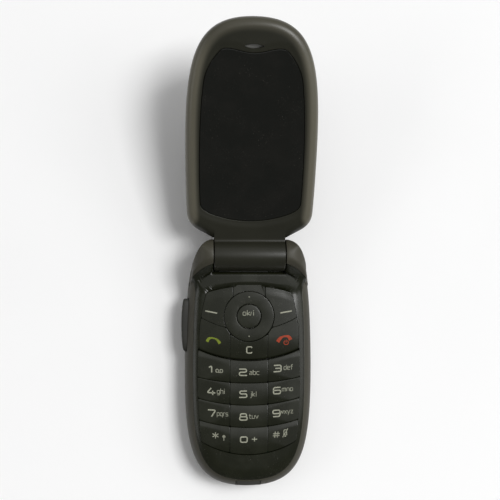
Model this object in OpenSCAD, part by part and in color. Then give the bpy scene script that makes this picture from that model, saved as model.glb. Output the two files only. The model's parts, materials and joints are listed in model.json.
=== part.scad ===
// Clamshell mobile phone, open at its stop and lying on its back.
// The keypad half lies along the Y axis with the hinge at its +Y end, and the lid rises beyond the hinge.
// The origin is the middle of the flat back. All sizes are in millimetres.

/* [Body] */
// Width of both halves where they are widest
body_w = 44; // [42:0.5:47]
// Distance from the hinge axis to the foot of the keypad half and to the tip of the lid
reach = 79.8; // [78.6:0.2:84]
// Thickness of the keypad half
base_t = 13.2; // [13:0.1:14.2]
// Thickness of the lid
lid_t = 8; // [7.8:0.1:9]
// Angle between the two halves when the lid is fully open
open_angle = 161; // [155:1:165]
// Height of the hinge axis above the keypad face
hinge_rise = 0.8; // [0.7:0.05:1.2]
// Gap between the two halves when the lid is closed
closed_gap = 0.5; // [0.4:0.05:0.6]

/* [Shells] */
// Wall thickness of the outer mouldings
wall = 1.2; // [1:0.05:1.4]
// Width of the round that leads from the back to the sides
back_round = 6.5; // [5:0.25:8]
// Width of the round that leads from the sides to the keypad face
face_round = 7; // [6:0.25:8]
// Distance below the keypad face of the seam between the front and the rear cover
seam_drop = 1.4; // [1.2:0.05:1.6]
// Height of the seam between the battery cover and the rear cover
tray_h = 3.2; // [2.8:0.1:3.6]
// Gap along every seam and round every loose piece
seam = 0.1; // [0.08:0.01:0.15]

/* [Hinge] */
// Outer radius of the two shoulders that carry the hinge
shoulder_r = 5.6; // [5.4:0.1:6]
// Distance from the middle to the inner face of each shoulder
shoulder_x = 12.4; // [12:0.1:13]
// Length of the round end of each shoulder along the hinge axis
shoulder_len = 6.4; // [6:0.1:7]
// Radius of the lid's hinge barrel
barrel_r = 5.2; // [5:0.05:5.3]
// Radius of the spring hinge cartridge
cartridge_r = 3; // [2.8:0.1:3.2]
// Length of the spring hinge cartridge
cartridge_len = 10.5; // [9:0.5:11]
// Radius of the cam shaft that the cartridge turns on
cam_shaft_r = 0.8; // [0.7:0.05:1]

/* [Keypad] */
// Distance from the hinge axis to the seam between the upper keys and the number keys
pad_top = 36; // [35.6:0.1:36.4]
// Distance from the foot of the last row of keys to the tip of the keypad half
chin = 11.6; // [11.4:0.1:12]
// Height of the last row of number keys, measured down the middle
last_row = 9.4; // [9:0.1:9.8]
// Distance from the middle to the gap between two columns of keys
column_x = 6.5; // [6:0.1:7]
// Distance from the outline of the body to the key field
pad_inset = 4.4; // [4.3:0.05:4.8]
// Gap between two keys
key_gap = 0.2; // [0.15:0.01:0.3]
// How far a key travels when it is pressed
key_travel = 0.3; // [0.2:0.05:0.4]
// Distance from the hinge axis to the middle of the four-way key
nav_d = 20.8; // [20.6:0.1:21]
// Outer radius of the four-way key
nav_r = 8.6; // [8.2:0.1:8.8]
// Radius of the select key inside the four-way key
select_r = 4.1; // [3.8:0.1:4.4]
// Distance from the hinge axis to the top of the upper key field
field_top = 9.95; // [9.8:0.05:10.1]

/* [Display] */
// Thickness of the window over the main display
lens_t = 1; // [0.8:0.1:1.2]
// Distance from the hinge axis to the foot of the window
lens_foot = 12.4; // [12.2:0.1:13]
// Distance from the hinge axis to the top of the window
lens_head = 66.4; // [66:0.1:66.8]
// Width of the display module
display_w = 31; // [28:0.5:32]
// Height of the display module
display_h = 40; // [36:0.5:42]
// Width of the small display in the lid's outer face
sub_display_w = 18; // [16:0.5:20]
// Height of the small display in the lid's outer face
sub_display_h = 14; // [12:0.5:16]

/* [Hidden] */
half_w = body_w / 2;
hinge_z = base_t + hinge_rise;
rest_tilt = 180 - open_angle;
hinge_y = (reach - shoulder_r) / 2;

// Colours
shell_grey = [0.27, 0.26, 0.23];
gloss_black = [0.09, 0.09, 0.08];
key_black = [0.12, 0.12, 0.11];
steel = [0.70, 0.70, 0.69];
rubber_grey = [0.32, 0.32, 0.32];
board_green = [0.10, 0.30, 0.18];
gold = [0.80, 0.62, 0.25];

$fn = 48;

// ---- Curves and lofts ----

function clamp(v, lo, hi) = max(lo, min(hi, v));
function ease(a, b, v) = let (t = clamp((v - a) / (b - a), 0, 1)) t * t * (3 - 2 * t);
function bezier(p, t) =
    pow(1 - t, 3) * p[0] + 3 * t * pow(1 - t, 2) * p[1] + 3 * t * t * (1 - t) * p[2] + t * t * t * p[3];
// Points of a cubic curve, without its last one
function curve(p, n) = [for (i = [0 : n - 1]) bezier(p, i / n)];
// A right-hand half outline, from the foot up, made whole with its mirror image
function mirrored(half) =
    concat(half, [for (i = [len(half) - 1 : -1 : 1]) if (half[i].x > 0.001) [-half[i].x, half[i].y]]);
// An outline drawn in towards a line down its middle that runs from y = lo to y = hi
function drawn_in(outline, lo, hi, inset) = [
    for (p = outline)
        let (c = [0, clamp(p.y, lo, hi)])
        c + (p - c) * (1 - inset / half_w)
];
function at_height(outline, z) = [for (p = outline) [p.x, p.y, z]];

// A closed solid through rings of equal length, capped flat at both ends
module loft(rings) {
    n = len(rings[0]);
    k = len(rings);
    sides = [
        for (j = [0 : k - 2], i = [0 : n - 1])
            let (a = j * n + i, b = j * n + (i + 1) % n)
            each [[a, a + n, b + n], [a, b + n, b]]
    ];
    polyhedron(
        [for (ring = rings) each ring],
        concat([[for (i = [0 : n - 1]) i]], sides, [[for (i = [n - 1 : -1 : 0]) (k - 1) * n + i]])
    );
}

// Base parts are drawn with the hinge axis over y = 0; lid parts lie flat beyond it, axis at the origin
module in_base() { translate([0, hinge_y, 0]) children(); }
module in_lid() { translate([0, hinge_y, hinge_z]) rotate([rest_tilt, 0, 0]) children(); }
module both_sides() { children(); mirror([1, 0, 0]) children(); }
// A cylinder along X from x = from to x = to
module bar_x(r, from, to) { translate([from, 0, 0]) rotate([0, 90, 0]) cylinder(r = r, h = to - from); }

// ---- Keypad half: outline and levels ----

waist_d = 38;        // from the hinge axis to the widest place
tip_drop = 11.5;     // how far the corner of the rounded end reaches back
tip_flat = half_w - 2.8;
end_curve = [[0, -reach], [tip_flat, -reach], [half_w, tip_drop - reach], [half_w, -waist_d]];
shoulder_curve = [[half_w, -waist_d], [half_w - 0.2, -14], [half_w - 1, shoulder_r - 1.1],
                  [shoulder_x + 0.4, shoulder_r]];
base_outline = mirrored(concat(curve(end_curve, 13), curve(shoulder_curve, 13), [[shoulder_x + 0.4, shoulder_r]]));
function base_inset(inset) = drawn_in(base_outline, half_w - reach, shoulder_r - half_w, inset);

mid_z = 7;                            // height of the widest place
seam_z = base_t - seam_drop;
board_top = base_t - 4;
board_t = 0.8;
board_foot = board_top - board_t;
can_h = 1.3;
roof_t = 0.8;                         // the battery bay's roof
roof_top = board_foot - can_h - seam;
bay_top_d = 24;                       // from the hinge axis to the ends of the battery bay
bay_foot_d = reach - 10.8;
tray_d = bay_top_d - 2;               // where the battery cover starts
key_foot = base_t - 1.9;
mat_top = key_foot - key_travel - 0.1;
mat_t = 0.6;
dome_h = 0.25;
sheet_t = 0.1;
stem_foot = board_top + sheet_t + dome_h + key_travel + 0.05;

// Height and inset of the outer skin, as quarter ellipses from the back to the sides and on to the face
function back_z(a) = mid_z * (1 - sin(a));
function back_in(a) = back_round * (1 - cos(a));
function face_z(a) = mid_z + (base_t - mid_z) * sin(a);
function face_in(a) = face_round * (1 - cos(a));
seam_angle = asin((seam_z - mid_z) / (base_t - mid_z));
seam_in = face_in(seam_angle);
rim_wall = 1;                         // the rear cover's wall where it meets the front cover
skirt_in = [seam_in + rim_wall + seam, seam_in + rim_wall + seam + 0.5];

// Near the hinge the sides stay upright to carry the shoulders
function upright(p) = 1 - 0.85 * ease(-13, -4, p.y);
function face_outline(inset) = [
    for (p = base_outline)
        let (c = [0, clamp(p.y, half_w - reach, shoulder_r - half_w)],
             d = min(inset, face_round) * upright(p) + max(inset - face_round, 0))
        c + (p - c) * (1 - d / half_w)
];
function face_ring(inset, z) = at_height(face_outline(inset), z);

// The light shoulders reach as far as this arc, which is the top corner of the front cover
corner_r = 15;
corner_x = 8;
corner_d = 17;
module shoulder_zone(gap = 0) {
    difference() {
        translate([shoulder_x - 0.5, -corner_d]) square([half_w, corner_d + 10]);
        translate([corner_x, -corner_d]) circle(r = corner_r - gap, $fn = 96);
    }
}

// Levels of the keypad half above the seam, drawn with upright sides near the hinge
module above_skin() {
    loft(concat(
        [face_ring(face_in(0) + 0.6, mid_z + 0.5)],
        [for (a = [8, 28, seam_angle, 68, 90]) face_ring(face_in(a), face_z(a))],
        [at_height(base_inset(18), base_t + 0.08)]
    ));
}

// The swelling that rises to the hinge at the right-hand corner. It keeps inside the lid's swing,
// and its foot runs out on the keypad face.
shoulder_top = hinge_z + shoulder_r;
module shoulder_swell() {
    foot = base_t - 1;
    rise = shoulder_top - foot;
    reach_x = shoulder_len + 1;
    intersection() {
        // Within the swing of the lid's lower corners
        translate([shoulder_x - 0.5, 0, hinge_z]) rotate([0, 90, 0]) cylinder(r1 = shoulder_r - 0.3, r2 = shoulder_r + 5, h = 10, $fn = 120);
        // Side view: round towards the end, running out towards the keys
        translate([shoulder_x - 0.6, 0, 0]) rotate([90, 0, 90]) linear_extrude(10.6) polygon(concat(
            [[shoulder_r, foot - 2]],
            [for (a = [0 : 10 : 80]) [shoulder_r * cos(a), hinge_z + shoulder_r * sin(a)]],
            [for (i = [0 : 10]) [-9.5 * i / 10, base_t - 0.2 + (shoulder_top - base_t + 0.2) * (1 - ease(0, 1, i / 10))]],
            [[-9.5, foot - 2]]
        ));
        // End view: round towards the side
        translate([0, shoulder_r, foot]) rotate([90, 0, 0]) linear_extrude(16) polygon(concat(
            [[shoulder_x - 0.7, rise], [shoulder_x - 0.7, -2], [shoulder_x + reach_x, -2]],
            [for (a = [0 : 9 : 90]) [shoulder_x + reach_x * cos(a), rise * sin(a)]]
        ));
        // Seen from above
        translate([0, 0, foot - 2]) linear_extrude(12) polygon(base_inset(1));
    }
}

// Right-hand shoulder of the rear cover
module shoulder() {
    intersection() {
        union() {
            above_skin();
            shoulder_swell();
        }
        translate([0, 0, seam_z - 2.6]) linear_extrude(20) shoulder_zone();
    }
}

// Room for the lid's barrel and neck over their whole swing
module barrel_room() {
    room_r = barrel_r + 0.3;
    translate([-shoulder_x, 0, hinge_z]) rotate([90, 0, 90]) linear_extrude(2 * shoulder_x) {
        circle(r = room_r, $fn = 120);
        translate([-room_r, 0]) square([room_r, 12]);
        rotate(rest_tilt) translate([0, -room_r]) square([20, 20]);
    }
}

// ---- Keypad half: housing ----

// Walls of the housing up to the seam, open at the top
module rear_cup() {
    loft(concat(
        [for (a = [90, 68, 50, 33, 16, 0]) at_height(base_inset(back_in(a)), back_z(a))],
        [for (a = [28, seam_angle]) face_ring(face_in(a), face_z(a))],
        [face_ring(seam_in + rim_wall, seam_z), face_ring(seam_in + rim_wall, seam_z - 1.6),
         at_height(base_inset(wall), mid_z)],
        [for (a = [33, 60, 90]) at_height(base_inset(back_in(a) + wall), wall + (mid_z - wall) * (1 - sin(a)))]
    ));
}

rail_z = tray_h + seam;       // ledges that hold the battery cover's hooks
rail_t = 0.8;
hook_len = 3.5;
hook_d = [31, 50];            // from the hinge axis to the near end of each hook
hook_x = half_w - 4.4;
screw_top = [half_w - 5.8, -10.8];
screw_foot = [half_w - 11.8, 9.6 - reach];
module at_screws() { both_sides() for (p = [screw_top, screw_foot]) translate(p) children(); }
side_key_d = 23.9;
side_key_len = 18.3;
side_key_h = 3.2;
side_key_z = 8;
speaker_at = [4.6, -12.6];
speaker_r = 5.8;
mic_x = screw_foot.x - 3.9;
plug_r = 2.4;                 // the cam's plug in the left shoulder
plug_flat = 2;
sleeve_r = 2.5;
fit = 0.05;                   // running clearance of the hinge parts

module rear_cover() {
    color(shell_grey) in_base() difference() {
        union() {
            difference() {
                rear_cup();
                translate([-half_w - 1, -reach - 1, -1]) cube([body_w + 2, reach + 1 - tray_d, tray_h + 1]);
                mirror([0, 0, 1]) translate([0, 0, -30]) linear_extrude(20.2)
                    both_sides() shoulder_zone(seam);
            }
            both_sides() shoulder();
            // Roof of the battery bay and the wall at its hinge end
            intersection() {
                translate([-half_w, -reach, roof_top - roof_t]) cube([body_w, reach - tray_d + wall, roof_t]);
                linear_extrude(20) polygon(base_inset(wall - 0.5));
            }
            translate([-15.5, -tray_d, wall - 0.3]) cube([31, wall, roof_top - wall + 0.3]);
            both_sides() for (d = hook_d)
                translate([half_w - 3.2, -d - hook_len, rail_z]) cube([1.4, hook_len, rail_t]);
            // Bosses that the screws pass through
            both_sides() translate([screw_top.x, screw_top.y, wall - 0.3]) cylinder(r = 2.2, h = board_foot - wall + 0.2);
        }
        barrel_room();
        // Pocket for the cam in the left shoulder, bore for the sleeve and way for the cable in the right one
        translate([0, 0, hinge_z]) {
            intersection() {
                bar_x(plug_r + fit, -shoulder_x - 3.4, -shoulder_x + 1);
                translate([-20, -5, -plug_flat - fit]) cube([10, 10, 2 * (plug_flat + fit)]);
            }
            bar_x(sleeve_r + 0.02, shoulder_x - 1, shoulder_x + 3.6);
        }
        translate([shoulder_x + 1.6, -9.5, roof_top]) cube([2, 9.5, hinge_z - roof_top]);
        // Screws
        both_sides() translate([screw_top.x, screw_top.y, -1]) {
            cylinder(r = 1, h = 20);
            cylinder(r = 1.9, h = 3.2);
        }
        both_sides() translate([screw_foot.x, screw_foot.y, 5]) cylinder(r = 1, h = 10);
        // Side key, charging socket, sound port of the microphone, loudspeaker grille
        translate([-half_w - 2, -side_key_d - side_key_len / 2 - seam, side_key_z - side_key_h / 2 - seam])
            cube([5, side_key_len + 2 * seam, side_key_h + 2 * seam]);
        translate([-half_w + 2.3, -side_key_d - side_key_len / 2 - 0.6, roof_top - roof_t - 0.1])
            cube([3.9, side_key_len + 1.2, 6]);
        translate([-4.4, -reach - 1, board_top - 0.2]) cube([8.8, 7, 2.5]);
        translate([mic_x, -reach - 1, board_top + 0.9]) rotate([-90, 0, 0]) cylinder(r = 0.4, h = 12);
        for (i = [-2 : 2], j = [-1 : 1])
            translate([speaker_at.x + 1.7 * i, speaker_at.y + 1.9 * j, -1]) cylinder(r = 0.5, h = 4);
        // Opening over the card holder
        translate([-9, 17.8 - reach, roof_top - 2]) cube([15, 16, 4]);
        // Opening for the battery contacts
        translate([-4.6, -tray_d - 2.1, roof_top - 2]) cube([9.2, 2.2, 4]);
    }
}

module battery_cover() {
    color(shell_grey) in_base() {
        difference() {
            loft(concat(
                [for (a = [90, 68, 50]) at_height(base_inset(back_in(a)), back_z(a))],
                let (a = asin(1 - (tray_h - seam) / mid_z))
                    [at_height(base_inset(back_in(a)), tray_h - seam),
                     at_height(base_inset(back_in(a) + wall), tray_h - seam)],
                [for (a = [60, 90]) at_height(base_inset(back_in(a) + wall), wall + (mid_z - wall) * (1 - sin(a)))]
            ));
            translate([-half_w - 1, -tray_d - seam, -1]) cube([body_w + 2, tray_d + 10, 10]);
            // Thumb grip
            for (i = [0 : 4]) translate([-5, -30 - 1.4 * i, -0.7]) rotate([0, 90, 0]) cylinder(r = 1, h = 10);
        }
        // Hooks that slide over the ledges of the housing
        both_sides() for (d = hook_d) {
            translate([hook_x - 0.9, -d - hook_len, wall - 0.3]) cube([1, hook_len, rail_z + rail_t + 0.8 - wall + 0.3]);
            translate([hook_x - 0.9, -d - hook_len, rail_z + rail_t + 0.1]) cube([2.5, hook_len, 0.7]);
        }
    }
}

// ---- Keypad half: key field, seen from above ----

row_r = [41, 75, 61, 55, 31];
row_pitch = (reach - chin - last_row - pad_top) / 3;
foot_y = 31.8 - reach;      // where the field starts to narrow towards its foot
function row_y(k) = -pad_top - (k < 4 ? k * row_pitch : 3 * row_pitch + last_row);
// Everything above the curved seam under row k
module above_seam(k, gap) { translate([0, row_y(k) + row_r[k]]) circle(r = row_r[k] + gap, $fn = 120); }
split_r = 33;
split_y = -25.6;
module above_split(gap) { translate([0, split_y + split_r]) circle(r = split_r + gap, $fn = 120); }
field_r = 47.8;
nav_at = [0, -nav_d];
bridge = 5.4;       // half width of the web between the two soft keys

module upper_outline(grow = 0) {
    intersection() {
        above_seam(0, grow);
        translate([0, -field_top - field_r]) circle(r = field_r + grow, $fn = 120);
        intersection_for (side = [-1, 1]) translate([-side * 42.8, -30]) circle(r = 38 + half_w + grow, $fn = 120);
    }
}
module pad_outline(grow = 0) {
    difference() {
        intersection() {
            above_seam(4, grow);
            intersection_for (side = [-1, 1]) translate([-side * (220 - half_w + pad_inset), -40])
                circle(r = 220 + grow, $fn = 360);
            union() {
                translate([0, foot_y]) circle(r = 23 + grow, $fn = 120);
                translate([-half_w, foot_y]) square([body_w, 30]);
            }
        }
        above_seam(0, -grow);
    }
}
module column(c) {
    span = 2 * column_x;
    if (c == 0) translate([-half_w, -reach]) square([half_w - column_x - key_gap / 2, reach]);
    if (c == 1) translate([-column_x + key_gap / 2, -reach]) square([span - key_gap, reach]);
    if (c == 2) translate([column_x + key_gap / 2, -reach]) square([half_w, reach]);
}
module bridge_area() { translate([-bridge, -nav_d]) square([2 * bridge, nav_d]); }

// Key tops lean slightly outwards from the middle
key_rise = 0.15;
module key_solid(lean = 0) {
    intersection() {
        translate([0, 0, key_foot]) linear_extrude(4) children();
        translate([lean < 0 ? -column_x : column_x, 0, base_t + key_rise]) rotate([0, lean, 0]) translate([-50, -100, -10]) cube([100, 110, 10]);
    }
}
pillow_r = 12;
module stem(p) { translate([p.x, p.y, stem_foot]) cylinder(r = 1, h = key_foot - stem_foot + 0.2, $fn = 24); }
function column_at(c) = [-12, 0, 12][c];
function digit_at(k) = let (r = floor(k / 3), c = k % 3) [column_at(c), (row_y(r) + row_y(r + 1)) / 2 + (c == 1 ? 0.2 : 1.6)];

module digit_key(k) {
    r = floor(k / 3);
    color(key_black) in_base() {
        intersection() {
            key_solid([-2, 0, 2][k % 3]) difference() {
                intersection() {
                    pad_outline(-key_gap / 2);
                    above_seam(r + 1, -key_gap / 2);
                    column(k % 3);
                }
                above_seam(r, key_gap / 2);
            }
            // Each row is rounded like a pillow
            translate([0, digit_at(k).y - 0.3, base_t + key_rise - pillow_r]) rotate([0, 90, 0])
                cylinder(r = pillow_r, h = body_w, center = true, $fn = 180);
        }
        stem(digit_at(k));
    }
}

soft_at = [-13, -18.6];
call_at = [-12.2, -28.6];
clear_at = [0, -32.4];
// Left-hand soft key and call key; the right-hand ones are their mirror images
module soft_key() {
    color(key_black) in_base() {
        key_solid(-2) difference() {
            intersection() {
                upper_outline(-key_gap / 2);
                above_split(-key_gap / 2);
                translate([-half_w, -reach]) square([half_w - bridge - key_gap, reach]);
            }
            translate(nav_at) circle(r = nav_r + key_gap);
        }
        stem(soft_at);
    }
}
module call_key() {
    color(key_black) in_base() {
        key_solid(-2) difference() {
            intersection() {
                upper_outline(-key_gap / 2);
                translate([-half_w, -reach]) square([half_w - column_x - key_gap / 2, reach]);
            }
            above_split(key_gap / 2);
            translate(nav_at) circle(r = nav_r + key_gap);
        }
        stem(call_at);
    }
}
module key_clear() {
    color(key_black) in_base() {
        key_solid() difference() {
            intersection() {
                upper_outline(-key_gap / 2);
                translate([-column_x + key_gap / 2, -reach]) square([2 * column_x - key_gap, reach - nav_d]);
            }
            translate(nav_at) circle(r = nav_r + key_gap);
        }
        stem(clear_at);
    }
}
module nav_key() {
    color(key_black) in_base() {
        difference() {
            union() {
                key_solid() translate(nav_at) circle(r = nav_r);
                for (a = [0 : 90 : 270]) stem(nav_at + 6.4 * [cos(a), sin(a)]);
            }
            translate([nav_at.x, nav_at.y, key_foot - 1]) cylinder(r = select_r + key_gap, h = 9);
            // Shallow dish round the select key
            translate([nav_at.x, nav_at.y, base_t + 25 - 0.25]) sphere(r = 25, $fn = 96);
        }
    }
}
// Rubber web that the four-way key rocks on: a ring, and two pads on the line that the key rocks about
module nav_web() {
    color(rubber_grey) in_base() translate([nav_at.x, nav_at.y, key_foot - 0.75]) difference() {
        union() {
            cylinder(r = nav_r - 0.3, h = 0.25);
            intersection() {
                cylinder(r = nav_r - 0.3, h = 0.7);
                translate([-1, -nav_r, 0]) cube([2, 2 * nav_r, 0.7]);
            }
        }
        translate([0, 0, -1]) cylinder(r = select_r + 0.6, h = 3);
        for (a = [0 : 90 : 270]) rotate([0, 0, a]) translate([6.4, 0, -1]) cylinder(r = 1.1, h = 3, $fn = 24);
    }
}
module key_select() {
    color(key_black) in_base() {
        intersection() {
            translate([nav_at.x, nav_at.y, key_foot]) cylinder(r = select_r, h = 4);
            translate([nav_at.x, nav_at.y, base_t + 0.1 - 40]) sphere(r = 40, $fn = 120);
        }
        stem(nav_at);
    }
}

module front_cover() {
    skirt_foot = seam_z - 1.4;
    color(gloss_black) in_base() difference() {
        union() {
            difference() {
                loft(concat(
                    [face_ring(16, skirt_foot - 0.4), face_ring(skirt_in[0], skirt_foot),
                     face_ring(skirt_in[0], seam_z), face_ring(seam_in, seam_z + seam)],
                    [for (a = [60, 70, 80, 90]) face_ring(face_in(a), face_z(a))],
                    [at_height(base_inset(18), base_t + 0.08)]
                ));
                translate([0, 0, skirt_foot - 1]) linear_extrude(base_t - 1.2 - skirt_foot + 1) polygon(face_outline(skirt_in[1]));
            }
            both_sides() intersection() {
                shoulder_swell();
                translate([0, 0, seam_z + 0.2]) linear_extrude(9) square(100, center = true);
            }
            // Pillars for the screws
            both_sides() translate([screw_top.x, screw_top.y, board_foot]) cylinder(r = 1.7, h = base_t - board_foot - 1);
            both_sides() translate([screw_foot.x, screw_foot.y, board_top]) cylinder(r = 1.7, h = base_t - board_top - 1);
        }
        barrel_room();
        translate([0, 0, -1]) linear_extrude(30) both_sides() shoulder_zone(seam);
        // Key openings
        translate([0, 0, base_t - 8]) linear_extrude(12) difference() {
            union() {
                upper_outline();
                pad_outline();
            }
            difference() {
                bridge_area();
                translate(nav_at) circle(r = nav_r + key_gap);
            }
        }
        at_screws() translate([0, 0, board_foot - 1]) cylinder(r = 0.7, h = 4.2);
        translate([-4.4, -reach - 1, board_top - 0.2]) cube([8.8, 7, 2.5]);
        translate([mic_x, -reach - 1, board_top + 0.9]) rotate([-90, 0, 0]) cylinder(r = 0.4, h = 12);
    }
}

// ---- Keypad half: inside ----

module slab(inset, z, t) {
    translate([0, 0, z]) linear_extrude(t) intersection() {
        polygon(base_inset(inset));
        translate([-half_w, -reach]) square([body_w, reach - 7.5]);
    }
}

module main_board() {
    color(board_green) in_base() difference() {
        slab(4.9, board_foot, board_t);
        both_sides() {
            translate([screw_top.x, screw_top.y, 5]) cylinder(r = 2.3, h = 10);
            translate([screw_foot.x, screw_foot.y, 5]) cylinder(r = 1.2, h = 10);
        }
    }
}
module shield_cans() {
    color(steel) in_base() {
        translate([-14, 38.8 - reach, board_foot - can_h]) cube([28, reach - 64.8, can_h]);
        translate([8, 19.8 - reach, board_foot - can_h]) cube([6, 14, can_h]);
    }
}
module dome_at(p) { translate([p.x, p.y, board_top + sheet_t]) cylinder(r1 = 2.2, r2 = 1.2, h = dome_h, $fn = 24); }
module dome_sheet() {
    color(steel) in_base() {
        difference() {
            translate([0, 0, board_top]) linear_extrude(sheet_t) union() {
                upper_outline(-0.8);
                pad_outline(-0.8);
                translate([-12, -38]) square([24, 8]);
            }
            at_screws() translate([0, 0, 5]) cylinder(r = 2.6, h = 10);
        }
        for (k = [0 : 11]) dome_at(digit_at(k));
        for (p = [soft_at, call_at]) {
            dome_at(p);
            dome_at([-p.x, p.y]);
        }
        dome_at(clear_at);
        dome_at(nav_at);
        for (a = [0 : 90 : 270]) dome_at(nav_at + 6.4 * [cos(a), sin(a)]);
    }
}
module mat_hole(p) { translate([p.x, p.y, 0]) cylinder(r = 1.25, h = 20, $fn = 24); }
module key_mat() {
    color(rubber_grey) in_base() difference() {
        union() {
            translate([0, 0, mat_top - mat_t]) linear_extrude(mat_t) union() {
                upper_outline(-0.3);
                pad_outline(-0.3);
                translate([-12, -38]) square([24, 8]);
            }
            // Feet that stand on the board between the keys
            for (y = [-26.5, row_y(1), row_y(3)], side = [-1, 1])
                translate([side * 6.5 - 0.6, y - 0.6, board_top + sheet_t]) cube([1.2, 1.2, mat_top - board_top - sheet_t - 0.2]);
        }
        for (k = [0 : 11]) mat_hole(digit_at(k));
        for (p = [soft_at, call_at]) {
            mat_hole(p);
            mat_hole([-p.x, p.y]);
        }
        mat_hole(clear_at);
        translate(nav_at) cylinder(r = nav_r + 0.1, h = 20);
    }
}
pack_w = body_w - 15;
pack_l = bay_foot_d - bay_top_d - 4;
module pack_plan(w, l) {
    square([w, l - 4], center = true);
    square([w - 4, l], center = true);
    both_sides() for (side = [-1, 1]) translate([w / 2 - 2, side * (l / 2 - 2)]) circle(r = 2);
}
module battery_pack() {
    color(rubber_grey) in_base() translate([0, -bay_top_d - 1 - pack_l / 2, wall + 0.1]) {
        linear_extrude(0.6) pack_plan(pack_w - 6, pack_l - 4);
        translate([0, 0, 0.6]) linear_extrude(roof_top - roof_t - wall - 0.8) pack_plan(pack_w, pack_l);
    }
}
module battery_contacts() {
    color(gold) in_base() translate([-4.2, -tray_d - 1.9, 2.6]) {
        cube([8.4, 1.5, board_foot - 2.6]);
        for (i = [0 : 2]) translate([1 + 2.4 * i, -0.9, 1]) cube([1.6, 1, 1.4]);
    }
}
module sim_holder() {
    color(steel) in_base() translate([-10, 16.8 - reach, board_foot - 1.2]) difference() {
        cube([17, 18, 1.2]);
        translate([1.5, 1.5, -1]) cube([14, 20, 1.4]);
    }
}
module backup_cell() {
    color(steel) in_base() translate([-13.2, 23.8 - reach, board_foot - 1.2]) cylinder(r = 2.4, h = 1.2);
}
module microphone() {
    color(steel) in_base() translate([mic_x, 8.2 - reach, board_top]) cylinder(r = 1.8, h = 1.2);
}
module system_connector() {
    color(steel) in_base() translate([-4.1, -reach + 1, board_top]) difference() {
        cube([8.2, 5, 2.2]);
        translate([0.5, -1, 0.4]) cube([7.2, 4.5, 1.4]);
    }
}
module antenna() {
    color(gold) in_base() translate([2.2 - screw_foot.x, 4.3 - reach, tray_h + 0.4]) cube([2 * (screw_foot.x - 2.2), 6.5, roof_top - roof_t - tray_h - 0.4]);
}
module loudspeaker() {
    color(gloss_black) in_base() translate([speaker_at.x, speaker_at.y, wall]) {
        cylinder(r = speaker_r, h = 2.6);
        cylinder(r = speaker_r - 1.4, h = 3.4);
    }
}
motor_at = [-2, -20.5];
motor_z = 3.4;
module vibration_motor() {
    color(steel) in_base() translate([motor_at.x - 9, motor_at.y + 2, motor_z]) {
        difference() {
            bar_x(2, 0, 7);
            bar_x(0.4, 6, 8);
        }
        translate([1, -1.6, -motor_z + wall]) cube([5, 3.2, 1.2]);
    }
}
module vibration_weight() {
    color(steel) in_base() translate([motor_at.x - 9, motor_at.y + 2, motor_z]) {
        bar_x(0.35, 6.2, 9.6);
        intersection() {
            bar_x(1.9, 7.3, 9.6);
            translate([7, -2, -2]) cube([3, 4, 2.2]);
        }
    }
}
module side_key() {
    color(shell_grey) in_base() translate([0, -side_key_d, side_key_z]) {
        intersection() {
            translate([-half_w - 1.3, -side_key_len / 2, -side_key_h / 2]) cube([4, side_key_len, side_key_h]);
            translate([-half_w - 1.3 + 60, 0, -5]) cylinder(r = 60, h = 10, $fn = 240);
            translate([-half_w - 1.3 + 5, 0, 0]) rotate([90, 0, 0]) cylinder(r = 5, h = 30, center = true, $fn = 96);
        }
        translate([-half_w + 2.55, -side_key_len / 2 - 0.4, -side_key_h / 2 - 0.4]) cube([0.6, side_key_len + 0.8, side_key_h + 0.8]);
        for (side = [-1, 1]) translate([-half_w + 3, side * 6 - 0.5, -0.8]) cube([0.5, 1, 1.2]);
    }
}
module side_switches() {
    color(gold) in_base() for (side = [-1, 1])
        translate([-half_w + 3.8, -side_key_d + side * 6 - 1.6, board_foot - 2.2]) cube([2, 3.2, 2.2]);
}
module base_screws() {
    color(steel) in_base() at_screws_solid();
}
module at_screws_solid() {
    both_sides() {
        translate([screw_top.x, screw_top.y, 1.3]) {
            cylinder(r = 1.7, h = 0.9);
            cylinder(r = 0.65, h = board_top + 1.6 - 1.3);
        }
        translate([screw_foot.x, screw_foot.y, roof_top - roof_t - 1]) {
            cylinder(r = 1.7, h = 0.9);
            cylinder(r = 0.65, h = board_top + 1.6 - roof_top + roof_t + 1);
        }
    }
}

// ---- Hinge ----

module hinge_cam() {
    color(steel) in_base() translate([0, 0, hinge_z]) {
        intersection() {
            bar_x(plug_r, -shoulder_x - 3.3, -shoulder_x + 0.1);
            translate([-20, -5, -plug_flat]) cube([10, 10, 2 * plug_flat]);
        }
        bar_x(cam_shaft_r, -shoulder_x, -shoulder_x + 7.5);
    }
}
module hinge_sleeve() {
    color(steel) in_base() translate([0, 0, hinge_z]) difference() {
        bar_x(sleeve_r, 6, shoulder_x + 3.5);
        bar_x(sleeve_r - 0.5, 5, shoulder_x + 2.9);
        translate([shoulder_x + 1.6, -9.5, -3]) cube([2, 9.5, 4.2]);
    }
}
module board_flex() {
    color(gold) in_base() {
        translate([0, 0, hinge_z]) difference() {
            bar_x(1.7, 6.2, shoulder_x + 2.8);
            bar_x(1.4, 5, shoulder_x + 3);
        }
        translate([shoulder_x + 1.9, -8.3, board_foot - 0.15]) cube([1.2, 6.9, 0.15]);
        translate([shoulder_x + 1.9, -1.55, board_foot - 0.15]) cube([1.2, 0.15, hinge_z - board_foot + 0.15]);
    }
}

// ---- Lid, drawn flat along +Y with the hinge axis at the origin and its inner face upwards ----

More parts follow.
